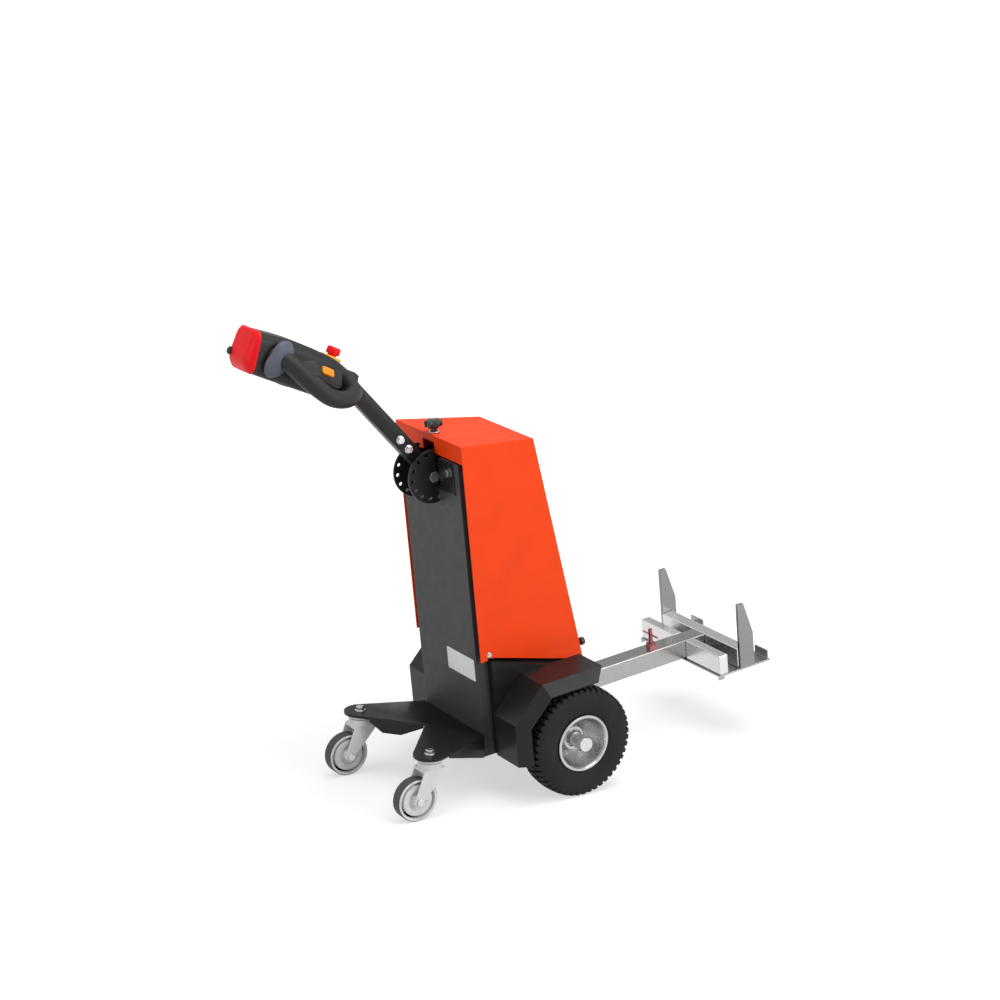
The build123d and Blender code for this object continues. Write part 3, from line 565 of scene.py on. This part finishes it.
def tyre_section():
    bead = (tread_half, bead_radius)
    bulge = (bulge_half, bulge_radius)
    side = arc_through(bead, bulge, (tread_half, shoulder_radius), side_steps)[:-1]
    wall = [(tread_half, bore_radius, None)]
    for across, radius in side:
        rib = bead_rib if bead_rib_inner < radius < bead_rib_outer else 0.0
        wall.append((across + rib, radius, None))
    shares = [-1.0, -0.75, 0.0, 0.75, 1.0]
    for groove in ring_grooves:
        for edge in (groove - ring_groove_half, groove + ring_groove_half):
            shares += [edge - groove_wall, edge + groove_wall]
    crown = tyre_radius - shoulder_radius
    tread = [
        (tread_half * share, tyre_radius - crown * share * share, share)
        for share in sorted(shares, reverse=True)
    ]
    return wall + tread + [(-across, radius, None) for across, radius, share in reversed(wall)]


def treaded_tyre(name, hand):
    middle = joint_place["drive_spin_" + name]
    section = tyre_section()
    mesh = bmesh.new()
    rings = []
    for pitch in range(tread_pitches):
        for mark in tread_marks:
            angle = 2 * pi * (pitch + mark) / tread_pitches
            turn = mark + tread_shift
            ring = []
            for across, radius, share in section:
                drop = sidewall_drop(turn, radius) if share is None else tread_drop(turn, share)
                low = radius - drop
                spot = middle + Vector((low * sin(angle), hand * across, low * cos(angle)))
                ring.append(mesh.verts.new(spot))
            rings.append(ring)
    for ring, after in zip(rings, rings[1:] + rings[:1]):
        for step in range(len(section)):
            other = (step + 1) % len(section)
            face = mesh.faces.new((ring[step], ring[other], after[other], after[step]))
            face.smooth = max(section[step][1], section[other][1]) < lug_start
    bmesh.ops.recalc_face_normals(mesh, faces=mesh.faces)
    piece = finish_piece("treaded_tyre_" + name, mesh, "drive_wheel_" + name, tyre_rubber)
    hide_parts("tyre_" + name)


tyre_rubber, rubber_tree, rubber_shader = new_material("tyre_rubber", (0.016, 0.016, 0.0165), 0.7)
rubber_shader.inputs["Specular IOR Level"].default_value = 0.2
dust = add_range(rubber_tree, add_noise(rubber_tree, 22.0), 0.0, 1.0)
add_colours(rubber_tree, rubber_shader, dust, (0.013, 0.013, 0.0135), (0.02, 0.02, 0.0205))
add_bump(rubber_tree, rubber_shader, add_noise(rubber_tree, 500.0, 3.0), 0.0003, 0.5)
for name, hand in (("right", -1), ("left", 1)):
    treaded_tyre(name, hand)

rim_steel = brushed_metal("bright_rim_steel", (0.50, 0.487, 0.49), 0.26, (8, 1, 8), 0.000002)
shaft_steel = brushed_metal("shaft_steel", (0.62, 0.61, 0.61), 0.34, (1, 6, 1), 0.00001)
rim_form = (
    (20, -36), (50, -36), (57, -34), (66, -34), (66, -31), (58, -28), (58, 28), (66, 32), (66.8, 35.5),
    (65, 37.2), (61, 36.6), (58.5, 33), (57, 27), (53, 13), (46, 2), (38, -8), (31, -15), (27.5, -17.5),
    (27.5, -8), (26, -6), (21, -6), (20, -8), (20, -14), (16, -14),
)
rim_sides = 96
wheel_crease = 38
shaft_sides = 56
shaft_form = ((10, -75), (10, -14), (16.5, -14), (17, -13), (17, 44), (16, 46), (14, 46.2))
for name, hand in (("right", -1), ("left", 1)):
    wheel = "drive_wheel_" + name
    outward = facing(joint_place["drive_spin_" + name], Vector((0, hand, 0))) @ Matrix.Scale(millimetre, 4)
    rim_mesh = bmesh.new()
    turned(rim_mesh, rim_form, rim_sides, outward)
    sharpen(rim_mesh, wheel_crease)
    rim_piece = finish_piece("dished_rim_" + name, rim_mesh, wheel, rim_steel)
    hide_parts("rim_" + name)
    shaft_mesh = bmesh.new()
    turned(shaft_mesh, shaft_form, shaft_sides, outward)
    sharpen(shaft_mesh, wheel_crease)
    shaft_piece = finish_piece("round_shaft_" + name, shaft_mesh, wheel, shaft_steel)
    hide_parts("drive_shaft_" + name)

# Castors
# Pressed forks in pale grey finish on a ball race, with grey nylon wheels and soft grey treads on a
# plated pin. The hub and tread forms are in millimetres: radius, then the distance from the middle.
fork_fold = 0.0015
castor_pin_edge = 0.0012
castor_sides = 72
castor_crease = 35
castor_grey = powder_coat("pale_grey_coat", (0.86, 0.86, 0.86), 0.4, 0.00005)
hub_nylon = moulded_plastic("pale_grey_nylon", (0.80, 0.80, 0.80), 0.45)
tread_grey = moulded_plastic("soft_grey_tread", (0.075, 0.075, 0.078), 0.6, 0.0003)
hub_form = (
    (5, 18), (12, 18), (13, 17), (13.5, 7), (22, 7), (23.5, 12), (34.5, 13.5), (36.5, 13), (37.5, 5),
    (42, 5), (43.2, 14.5), (47, 15), (48.4, 13.8),
)
whole_hub_form = [(radius, -level) for radius, level in hub_form] + list(reversed(hub_form))
band_form = ((44, -5), (44, -13.2), (49, -13.2), (50, -12), (50, 12), (49, 13.2), (44, 13.2), (44, 5))
for name in ("right", "left"):
    dress(castor_grey, "castor_fork_" + name, "castor_race_" + name)
    dress(zinc_bright, "castor_pin_" + name)
    round_folds(fork_fold, "castor_fork_" + name, "castor_race_" + name)
    round_folds(castor_pin_edge, "castor_pin_" + name)
    wheel = "castor_wheel_" + name
    sideways = facing(joint_place["castor_spin_" + name], Vector((0, 1, 0))) @ Matrix.Scale(millimetre, 4)
    hub_mesh = bmesh.new()
    turned(hub_mesh, whole_hub_form, castor_sides, sideways)
    sharpen(hub_mesh, castor_crease)
    hub_piece = finish_piece("grooved_hub_" + name, hub_mesh, wheel, hub_nylon)
    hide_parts("castor_hub_" + name)
    band_mesh = bmesh.new()
    turned(band_mesh, band_form, castor_sides, sideways)
    sharpen(band_mesh, castor_crease)
    band_piece = finish_piece("tread_band_" + name, band_mesh, wheel, tread_grey)
    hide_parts("castor_tread_" + name)

# Drive unit and battery
# The cast gearbox and motor hang under the tray and show from below. The battery is a plain black
# case on its shelf inside the hood.
casting_round = 0.003
battery_round = 0.004
gear_casting, casting_tree, casting_shader = new_material("cast_gearbox", (0.14, 0.14, 0.145), 0.55, 0.6)
casting_grain = add_noise(casting_tree, 260.0, 4.0)
casting_spots = add_range(casting_tree, casting_grain, 0.0, 1.0)
add_colours(casting_tree, casting_shader, casting_spots, (0.11, 0.11, 0.115), (0.17, 0.17, 0.172))
add_bump(casting_tree, casting_shader, casting_grain, 0.0008, 0.5)
dress(gear_casting, "drive_unit")
round_folds(casting_round, "drive_unit")
battery_black = moulded_plastic("battery_case", (0.02, 0.02, 0.022), 0.5)
dress(battery_black, "battery_block")
round_folds(battery_round, "battery_block")

# Tow tube and carrier
# Brushed stainless box sections and plates, welded together, with the grain of the steel along each
# section. Each grain direction is its own copy of the steel, with painted light and shade in its colour:
# the cross tube and bar are painted lighter, and the tow tube, floor and uprights are painted darker.
# A latch pin with a red finish stands on the tube.
tube_round = 0.0028
sheet_round = 0.001
# Lit and shaded copies of one stainless steel: painted light on the cross tube and bar, painted shade on
# the tow tube, floor and uprights.
stainless_along_painted_shade = brushed_metal("stainless_along_painted_shade", (0.38, 0.376, 0.372), 0.24, (1, 16, 16))
stainless_across_painted_light = brushed_metal("stainless_across_painted_light", (0.70, 0.695, 0.69), 0.26, (16, 1, 16))
stainless_upright_painted_shade = brushed_metal("stainless_upright_painted_shade", (0.25, 0.247, 0.244), 0.26, (16, 16, 1))
dress(stainless_along_painted_shade, "tow_tube", "carrier_floor")
dress(stainless_across_painted_light, "carrier_cross_tube", "carrier_bar")
dress(stainless_upright_painted_shade, "upright_right", "upright_left")
round_folds(tube_round, "tow_tube", "carrier_cross_tube", "carrier_bar")
round_folds(sheet_round, "carrier_floor", "upright_right", "upright_left")
latch_red = brushed_metal("red_passivated_steel", (0.36, 0.13, 0.15), 0.35, (1, 1, 8))
dress(latch_red, "latch_pin")
round_folds(sheet_round, "latch_pin")

# Tiller pivot
# A black bracket bolted into the panel, two index discs with rings of holes, and a pin through them.
# The pin and the bracket's two hexagon bolts are dark zinc plated.
dress(chassis_black, "pivot_bracket", "index_disc_right", "index_disc_left")
round_folds(sheet_round, "pivot_bracket", "index_disc_right", "index_disc_left", steps=2)
pin_dark = brushed_metal("black_zinc", (0.22, 0.22, 0.225), 0.35, (1, 6, 1))
dress(pin_dark, "pivot_pin")
round_folds(sheet_round, "pivot_pin")
bracket_bolt = (0.016, 0.008, 0.0105)
bracket_bolt_place = (-0.192, 0.091, 0.6635)
bracket_bolt_mesh = bmesh.new()
for hand in (-1, 1):
    bolt_spot = on_body(bracket_bolt_place[0], hand * bracket_bolt_place[1], bracket_bolt_place[2])
    hexagon_bolt(bracket_bolt_mesh, bolt_spot, -body_along, *bracket_bolt)
finish_piece("bracket_bolts", bracket_bolt_mesh, "chassis", pin_dark)

# Tiller arm
# A flat painted tube with rounded edges that runs from an eye on the pivot pin up into the head,
# with two hexagon bolts through its foot. Its sizes are in millimetres from the foot of the arm.
arm_start = on_body(-0.210, 0, 0.6494)
arm_slope = radians(54.0)
arm_along = body_up * sin(arm_slope) - body_along * cos(arm_slope)
arm_up = Vector((0, 1, 0)).cross(arm_along)
arm_half_thick = 15.0
arm_under = -8.6
arm_over = 27.8
arm_taper = 52.0
arm_ends = (288.0, 302.0)
arm_eye = (-9.9, 2.7)
eye_radius = 14.0
eye_start = 232
eye_turn = 144
eye_steps = 12
arm_edge = 0.0025
soft_crease = 50
arm_bolt = (0.015, 0.006, 0.0098)
arm_bolt_places = ((104.5, 8.9), (72.5, 8.8))


def on_arm(along, across, up):
    return arm_start + (arm_along * along + Vector((0, across, 0)) + arm_up * up) * millimetre


arm_outline = []
for step in range(eye_steps + 1):
    angle = radians(eye_start - step * eye_turn / eye_steps)
    arm_outline.append((arm_eye[0] + eye_radius * cos(angle), arm_eye[1] + eye_radius * sin(angle)))
arm_outline += [(arm_taper, arm_over), (arm_ends[1], arm_over), (arm_ends[0], arm_under)]
arm_mesh = bmesh.new()
bevelled_prism(
    arm_mesh, arm_outline, -arm_half_thick, arm_half_thick, arm_edge,
    lambda along, up, across: on_arm(along, across, up),
)
sharpen(arm_mesh, soft_crease)
arm_piece = finish_piece("flat_arm", arm_mesh, "tiller", chassis_black)
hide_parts("tiller_arm")
arm_bolt_mesh = bmesh.new()
for along, up in arm_bolt_places:
    for hand in (-1, 1):
        spot = on_arm(along, hand * arm_half_thick, up)
        hexagon_bolt(arm_bolt_mesh, spot, Vector((0, hand, 0)), *arm_bolt)
finish_piece("arm_bolts", arm_bolt_mesh, "tiller", zinc_bright)

# Tiller head
# A black moulding in rounded cross sections, wider towards the nose, with a sloping shoulder pad on
# each side and a lip over the arm. Its sizes are in millimetres along, across and up from its foot,
# and each row of the head gives place, half width, top, bottom and corner.
head_start = on_body(-0.3437, 0, 0.9045)
head_slope = radians(32.75)
head_along = body_up * sin(head_slope) - body_along * cos(head_slope)
head_up = Vector((0, 1, 0)).cross(head_along)
head_rows = ((12, 30, -4, -68, 12), (92, 50, 12, -76.5, 18), (190, 52, 14, -82, 22), (300, 50, 2, -86, 20))
head_rings = 30
seam_middle = (278.0, -41.0)
seam_lean = 0.2036
pad_rows = ((74, 0.93), (78, 1.0), (138, 1.0), (158, 0.88), (198, 0.42))
pad_outline = ((24, -6), (52, -6), (80, -34), (80, -39), (52, -46), (24, -46))
lip_outline = ((5, -14), (5, -1), (18, 3), (27, 0), (27, -14))
lip_half = 15.0
lip_edge = 0.0015
head_crease = 40
tiller_black = moulded_plastic("grained_black_plastic", (0.016, 0.016, 0.0167), 0.42, 0.0003)


def on_head(along, across, up):
    return head_start + (head_along * along + Vector((0, across, 0)) + head_up * up) * millimetre


def eased(before, start, end, after, share):
    leave = (end - before) / 2
    arrive = (after - start) / 2
    square = share * share
    cube = square * share
    rest = (2 * cube - 3 * square + 1) * start + (cube - 2 * square + share) * leave
    return rest + (3 * square - 2 * cube) * end + (cube - square) * arrive


def row_at(rows, along):
    last = len(rows) - 1
    step = max(number for number in range(last) if number == 0 or rows[number][0] <= along)
    near = [rows[max(0, min(last, step + shift))] for shift in (-1, 0, 1, 2)]
    share = (along - near[1][0]) / (near[2][0] - near[1][0])
    return [eased(*column, share) for column in list(zip(*near))[1:]]


head_mesh = bmesh.new()
rings = []
for step in range(head_rings + 1):
    share = step / head_rings
    base = head_rows[0][0] + (seam_middle[0] - head_rows[0][0]) * share
    lean = seam_lean * share * share
    ring = []
    for across, up in rounded_ring(*row_at(head_rows, base)):
        ring.append(head_mesh.verts.new(on_head(base + lean * (up - seam_middle[1]), across, up)))
    rings.append(ring)
skin(head_mesh, rings)
pad_root = pad_outline[0][0]
for hand in (-1, 1):
    rings = []
    for along, share in pad_rows:
        ring = []
        for out, up in pad_outline:
            across = hand * (pad_root + (out - pad_root) * share)
            ring.append(head_mesh.verts.new(on_head(along, across, up)))
        rings.append(ring)
    skin(head_mesh, rings)
bevelled_prism(
    head_mesh, lip_outline, -lip_half, lip_half, lip_edge,
    lambda along, up, across: on_head(along, across, up),
)
sharpen(head_mesh, head_crease)
head_piece = finish_piece("moulded_head", head_mesh, "tiller", tiller_black)
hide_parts("tiller_head")

# Belly switch
# The red nose of the head, with a raised rim at the seam, a small brow and a deep chin, and a black
# push button on its far corner.
nose_tip = 297.0
nose_corner = 22.0
nose_chin = 36.0
nose_brow = 5.0
nose_rim = 1.3
nose_rim_rings = 4
nose_rings = 16
nose_half, nose_top, nose_bottom, nose_edge = row_at(head_rows, seam_middle[0])
nose_middle = (nose_top + nose_bottom) / 2
switch_red = moulded_plastic("signal_red_plastic", (0.93, 0.003, 0.009), 0.45, 0.00005)
nose_mesh = bmesh.new()
rings = []
for step in range(nose_rings + 1):
    share = sin(pi / 2 * step / nose_rings)
    bend = 1 - sqrt(max(0.0, 1 - share * share))
    rim = nose_rim if step < nose_rim_rings else 0.0
    ring = []
    for across, up in rounded_ring(nose_half + rim, nose_top + rim, nose_bottom - rim, nose_edge):
        start = seam_middle[0] + seam_lean * (up - seam_middle[1])
        along = start + (nose_tip - start) * share
        if up < nose_middle:
            up += nose_chin * bend * (nose_middle - up) / (nose_middle - nose_bottom)
        else:
            up -= nose_brow * bend * (up - nose_middle) / (nose_top - nose_middle)
        across *= 1 - nose_corner * bend / nose_half
        ring.append(nose_mesh.verts.new(on_head(along, across, up)))
    rings.append(ring)
skin(nose_mesh, rings)
sharpen(nose_mesh, head_crease)
nose_piece = finish_piece("red_nose", nose_mesh, "tiller", switch_red)
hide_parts("belly_switch")
button_sides = 36
button_place = (281, 34, -56)
button_form = ((0.009, 0), (0.009, 0.016), (0.0083, 0.0185), (0.0062, 0.0202), (0.003, 0.021))
button_mesh = bmesh.new()
turned(button_mesh, button_form, button_sides, facing(on_head(*button_place), head_along))
button_piece = finish_piece("nose_button", button_mesh, "tiller", tiller_black)
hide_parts("belly_button")

# Loop grips
# One drooping rubber loop of thick round section on each side, which leaves the side of the head
# near the nose and comes back into it at the neck. Each row is along the head, out in the loop and
# down from it, in millimetres.
loop_root = (60.0, -24.0)
loop_droop = radians(40.0)
loop_rows = (
    (262, -42, 34),
    (244, -20, 20),
    (205, 12, 4),
    (157, 48, 0),
    (108, 66, 0),
    (62, 50, 0),
    (37, 14, 4),
    (40, -22, 20),
    (56, -44, 34),
)
loop_radius = 19.0
loop_swell = 1.8
swell_rows = 2.5
loop_steps = 9
loop_sides = 32
grip_rubber = moulded_plastic("grip_rubber", (0.018, 0.018, 0.0186), 0.5, 0.0004)


def on_loop(hand, along, out, down):
    across = loop_root[0] + out * cos(loop_droop) - down * sin(loop_droop)
    up = loop_root[1] - out * sin(loop_droop) - down * cos(loop_droop)
    return on_head(along, hand * across, up)


def loop_line(hand):
    line = []
    for first in range(1, len(loop_rows) - 2):
        near = loop_rows[first - 1:first + 3]
        for step in range(loop_steps):
            line.append(on_loop(hand, *[eased(*column, step / loop_steps) for column in zip(*near)]))
    line.append(on_loop(hand, *loop_rows[-2]))
    return line


grip_mesh = bmesh.new()
for hand in (-1, 1):
    line = loop_line(hand)
    level = -head_up * cos(loop_droop) - Vector((0, hand, 0)) * sin(loop_droop)
    rings = []
    for number, spot in enumerate(line):
        toward = (line[min(number + 1, len(line) - 1)] - line[max(number - 1, 0)]).normalized()
        side = toward.cross(level).normalized()
        top = side.cross(toward)
        swell = loop_swell * max(0.0, 1 - number / (swell_rows * loop_steps))
        radius = (loop_radius + swell) * millimetre
        ring = []
        for step in range(loop_sides):
            angle = 2 * pi * step / loop_sides
            ring.append(grip_mesh.verts.new(spot + (side * cos(angle) + top * sin(angle)) * radius))
        rings.append(ring)
    skin(grip_mesh, rings)
sharpen(grip_mesh, soft_crease)
grip_piece = finish_piece("swept_grips", grip_mesh, "tiller", grip_rubber)
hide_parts("grip_loops")

# Thumb switches
# A slate plastic butterfly round the root of each grip, with one lobe above it and one below towards
# the nose. Its outline has an even row of radii from the nose round over the top, and each ring gives
# its share of the outline and its height, all in millimetres.
wing_middle = (224.0, 53.0, -34.0)
wing_radii = (35, 36, 42, 43, 38, 28, 24, 25, 32, 40, 47, 42)
wing_rings = ((0.30, 15), (0.62, 13.5), (0.82, 10), (0.94, 5.5), (1.0, 1), (0.97, -3), (0.8, -7), (0.4, -9))
wing_sides = 72
wing_crease = 60
wing_sideways = 0.85
wing_forward = 0.5
thumb_slate = moulded_plastic("slate_plastic", (0.105, 0.115, 0.15), 0.42, 0.0002)
wing_mesh = bmesh.new()
for hand in (-1, 1):
    middle = on_head(wing_middle[0], hand * wing_middle[1], wing_middle[2])
    line = loop_line(hand)
    grip_start = (line[loop_steps] - line[0]).normalized()
    outward = (Vector((0, hand, 0)) * wing_sideways + grip_start * wing_forward).normalized()
    wing_up = (head_up - outward * head_up.dot(outward)).normalized()
    wing_front = head_along - outward * head_along.dot(outward) - wing_up * head_along.dot(wing_up)
    wing_front.normalize()
    rings = []
    for share, height in wing_rings:
        ring = []
        for step in range(wing_sides):
            angle = 2 * pi * step / wing_sides
            turn = len(wing_radii) * step / wing_sides
            near = [wing_radii[(int(turn) + shift) % len(wing_radii)] for shift in (-1, 0, 1, 2)]
            radius = share * eased(*near, turn - int(turn)) * millimetre
            spot = middle + wing_front * radius * cos(angle) + wing_up * radius * sin(angle)
            ring.append(wing_mesh.verts.new(spot + outward * height * millimetre))
        rings.append(ring)
    skin(wing_mesh, rings)
sharpen(wing_mesh, wing_crease)
wing_piece = finish_piece("butterfly_switches", wing_mesh, "tiller", thumb_slate)
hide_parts("thumb_switches")

# Horn buttons and emergency stop
# An orange plastic key on the slope of each shoulder pad, and a red mushroom on a low yellow base on
# top of the head, nearer the arm.
horn_place = (114.0, 66.0, -20.0)
horn_size = (0.030, 0.020)
horn_corner = 0.005
horn_height = 0.005
horn_edge = 0.0014
horn_crease = 35
horn_orange = moulded_plastic("horn_orange_plastic", (1.0, 0.29, 0.012), 0.4, 0.00005)
horn_mesh = bmesh.new()
for hand in (-1, 1):
    horn_spot = on_head(horn_place[0], hand * horn_place[1], horn_place[2])
    slope = (Vector((0, hand, 0)) + head_up).normalized()
    horn_matrix = facing(horn_spot, slope, head_along)
    rounded_plate(horn_mesh, horn_size, horn_corner, horn_height, horn_edge, horn_matrix)
sharpen(horn_mesh, horn_crease)
horn_piece = finish_piece("horn_keys", horn_mesh, "tiller", horn_orange)
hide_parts("horn_buttons")

stop_sides = 48
stop_along = 81.0
stop_base_up = 8.0
stop_base_form = ((0.024, 0), (0.024, 0.0055), (0.0228, 0.0075), (0.021, 0.008))
stop_button_up = 16.0
stop_button_form = (
    (0.010, 0), (0.010, 0.003), (0.0145, 0.0038), (0.0155, 0.0055), (0.0155, 0.0165), (0.0142, 0.0192),
    (0.010, 0.0205),
)
stop_yellow = moulded_plastic("stop_yellow_plastic", (0.85, 0.50, 0.01), 0.4, 0.00005)
base_mesh = bmesh.new()
turned(base_mesh, stop_base_form, stop_sides, facing(on_head(stop_along, 0, stop_base_up), head_up))
sharpen(base_mesh, soft_crease)
base_piece = finish_piece("stop_collar", base_mesh, "tiller", stop_yellow)
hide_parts("stop_base")
mushroom_mesh = bmesh.new()
turned(mushroom_mesh, stop_button_form, stop_sides, facing(on_head(stop_along, 0, stop_button_up), head_up))
sharpen(mushroom_mesh, soft_crease)
mushroom_piece = finish_piece("stop_mushroom", mushroom_mesh, "tiller", switch_red)
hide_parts("stop_button")

# Floor, light and camera
# A plain pale floor that runs out to white, soft lamps overhead and on two sides, a grey card for the
# steel to mirror, and a long lens at the height and side that the photograph was taken from.


def flat_sheet(name, size, material):
    mesh = bmesh.new()
    bmesh.ops.create_grid(mesh, x_segments=1, y_segments=1, size=size)
    data = bpy.data.meshes.new(name)
    mesh.to_mesh(data)
    mesh.free()
    data.materials.append(material)
    sheet = bpy.data.objects.new(name, data)
    bpy.context.collection.objects.link(sheet)
    return sheet


def seen_or_mirrored(tree):
    path = tree.nodes.new("ShaderNodeLightPath")
    either = tree.nodes.new("ShaderNodeMath")
    either.operation = "MAXIMUM"
    tree.links.new(path.outputs["Is Camera Ray"], either.inputs[0])
    tree.links.new(path.outputs["Is Glossy Ray"], either.inputs[1])
    return either.outputs["Value"]


floor_size = 30
glow_from = 0.7
glow_to = 2.8
glow_near = 0.56
floor_paper, paper_tree, paper_shader = new_material("floor_paper", (0.6, 0.6, 0.6), 0.9)
paper_shader.inputs["Specular IOR Level"].default_value = 0.1
paper_shader.inputs["Emission Color"].default_value = (1, 1, 1, 1)
paper_place = paper_tree.nodes.new("ShaderNodeTexCoord")
paper_distance = paper_tree.nodes.new("ShaderNodeVectorMath")
paper_distance.operation = "LENGTH"
paper_tree.links.new(paper_place.outputs["Object"], paper_distance.inputs[0])
paper_glow = paper_tree.nodes.new("ShaderNodeMapRange")
paper_glow.interpolation_type = "SMOOTHSTEP"
paper_glow.inputs["From Min"].default_value = glow_from
paper_glow.inputs["From Max"].default_value = glow_to
paper_glow.inputs["To Min"].default_value = glow_near
paper_glow.inputs["To Max"].default_value = 1.0
paper_tree.links.new(paper_distance.outputs["Value"], paper_glow.inputs["Value"])
paper_seen = paper_tree.nodes.new("ShaderNodeMath")
paper_seen.operation = "MULTIPLY"
paper_tree.links.new(seen_or_mirrored(paper_tree), paper_seen.inputs[0])
paper_tree.links.new(paper_glow.outputs["Result"], paper_seen.inputs[1])
paper_tree.links.new(paper_seen.outputs["Value"], paper_shader.inputs["Emission Strength"])
floor = flat_sheet("studio_floor", floor_size, floor_paper)

sky_light = 0.35
world = bpy.data.worlds.new("white_studio")
bpy.context.scene.world = world
world.use_nodes = True
sky_tree = world.node_tree
sky = sky_tree.nodes["Background"]
sky.inputs["Color"].default_value = (1, 1, 1, 1)
strength = sky_tree.nodes.new("ShaderNodeMapRange")
strength.inputs["To Min"].default_value = sky_light
strength.inputs["To Max"].default_value = 1.0
sky_tree.links.new(seen_or_mirrored(sky_tree), strength.inputs["Value"])
sky_tree.links.new(strength.outputs["Result"], sky.inputs["Strength"])

card_distance = 6.0
card_height = 4.0
card_heading = radians(57.7)
card_glow = 0.38
card_cloth, _, card_shader = new_material("dark_card_cloth", (0.30, 0.30, 0.30), 0.9)
card_shader.inputs["Emission Color"].default_value = (1, 1, 1, 1)
card_shader.inputs["Emission Strength"].default_value = card_glow
dark_card = flat_sheet("dark_card", 1, card_cloth)
dark_card.location = (card_distance * cos(card_heading), card_distance * sin(card_heading), card_height)
dark_card.rotation_euler = (pi / 2, 0, card_heading - pi / 2)
dark_card.scale = (7.0, 2.8, 1.0)
for ray in ("visible_camera", "visible_diffuse", "visible_shadow"):
    setattr(dark_card, ray, False)


def soft_lamp(name, place, target, size, power):
    lamp = bpy.data.lights.new(name, "AREA")
    lamp.shape = "SQUARE"
    lamp.size = size
    lamp.energy = power
    holder = bpy.data.objects.new(name, lamp)
    bpy.context.collection.objects.link(holder)
    holder.location = place
    holder.rotation_euler = (Vector(target) - Vector(place)).to_track_quat("-Z", "Y").to_euler()


soft_lamp("overhead_softbox", (0.3, -0.6, 3.4), (0, 0, 0.5), 2.4, 62)
soft_lamp("right_softbox", (1.6, -3.4, 1.8), (0, 0, 0.5), 2.0, 60)
soft_lamp("rear_softbox", (-3.4, -0.2, 1.9), (0, 0, 0.6), 1.8, 24)

lens_to_photo = 2.588307
film_width = 36
camera_back = 3.088521
camera_right = 4.78582
camera_height = 2.341183
camera_heading = radians(-32.269)
camera_dip = radians(16.591)
lens = bpy.data.cameras.new("long_lens")
lens.sensor_width = film_width
lens.lens = film_width * lens_to_photo
camera = bpy.data.objects.new("camera", lens)
bpy.context.collection.objects.link(camera)
camera.location = (axle.x - camera_back, -camera_right, camera_height)
camera.rotation_euler = (pi / 2 - camera_dip, 0, camera_heading)
bpy.context.scene.camera = camera
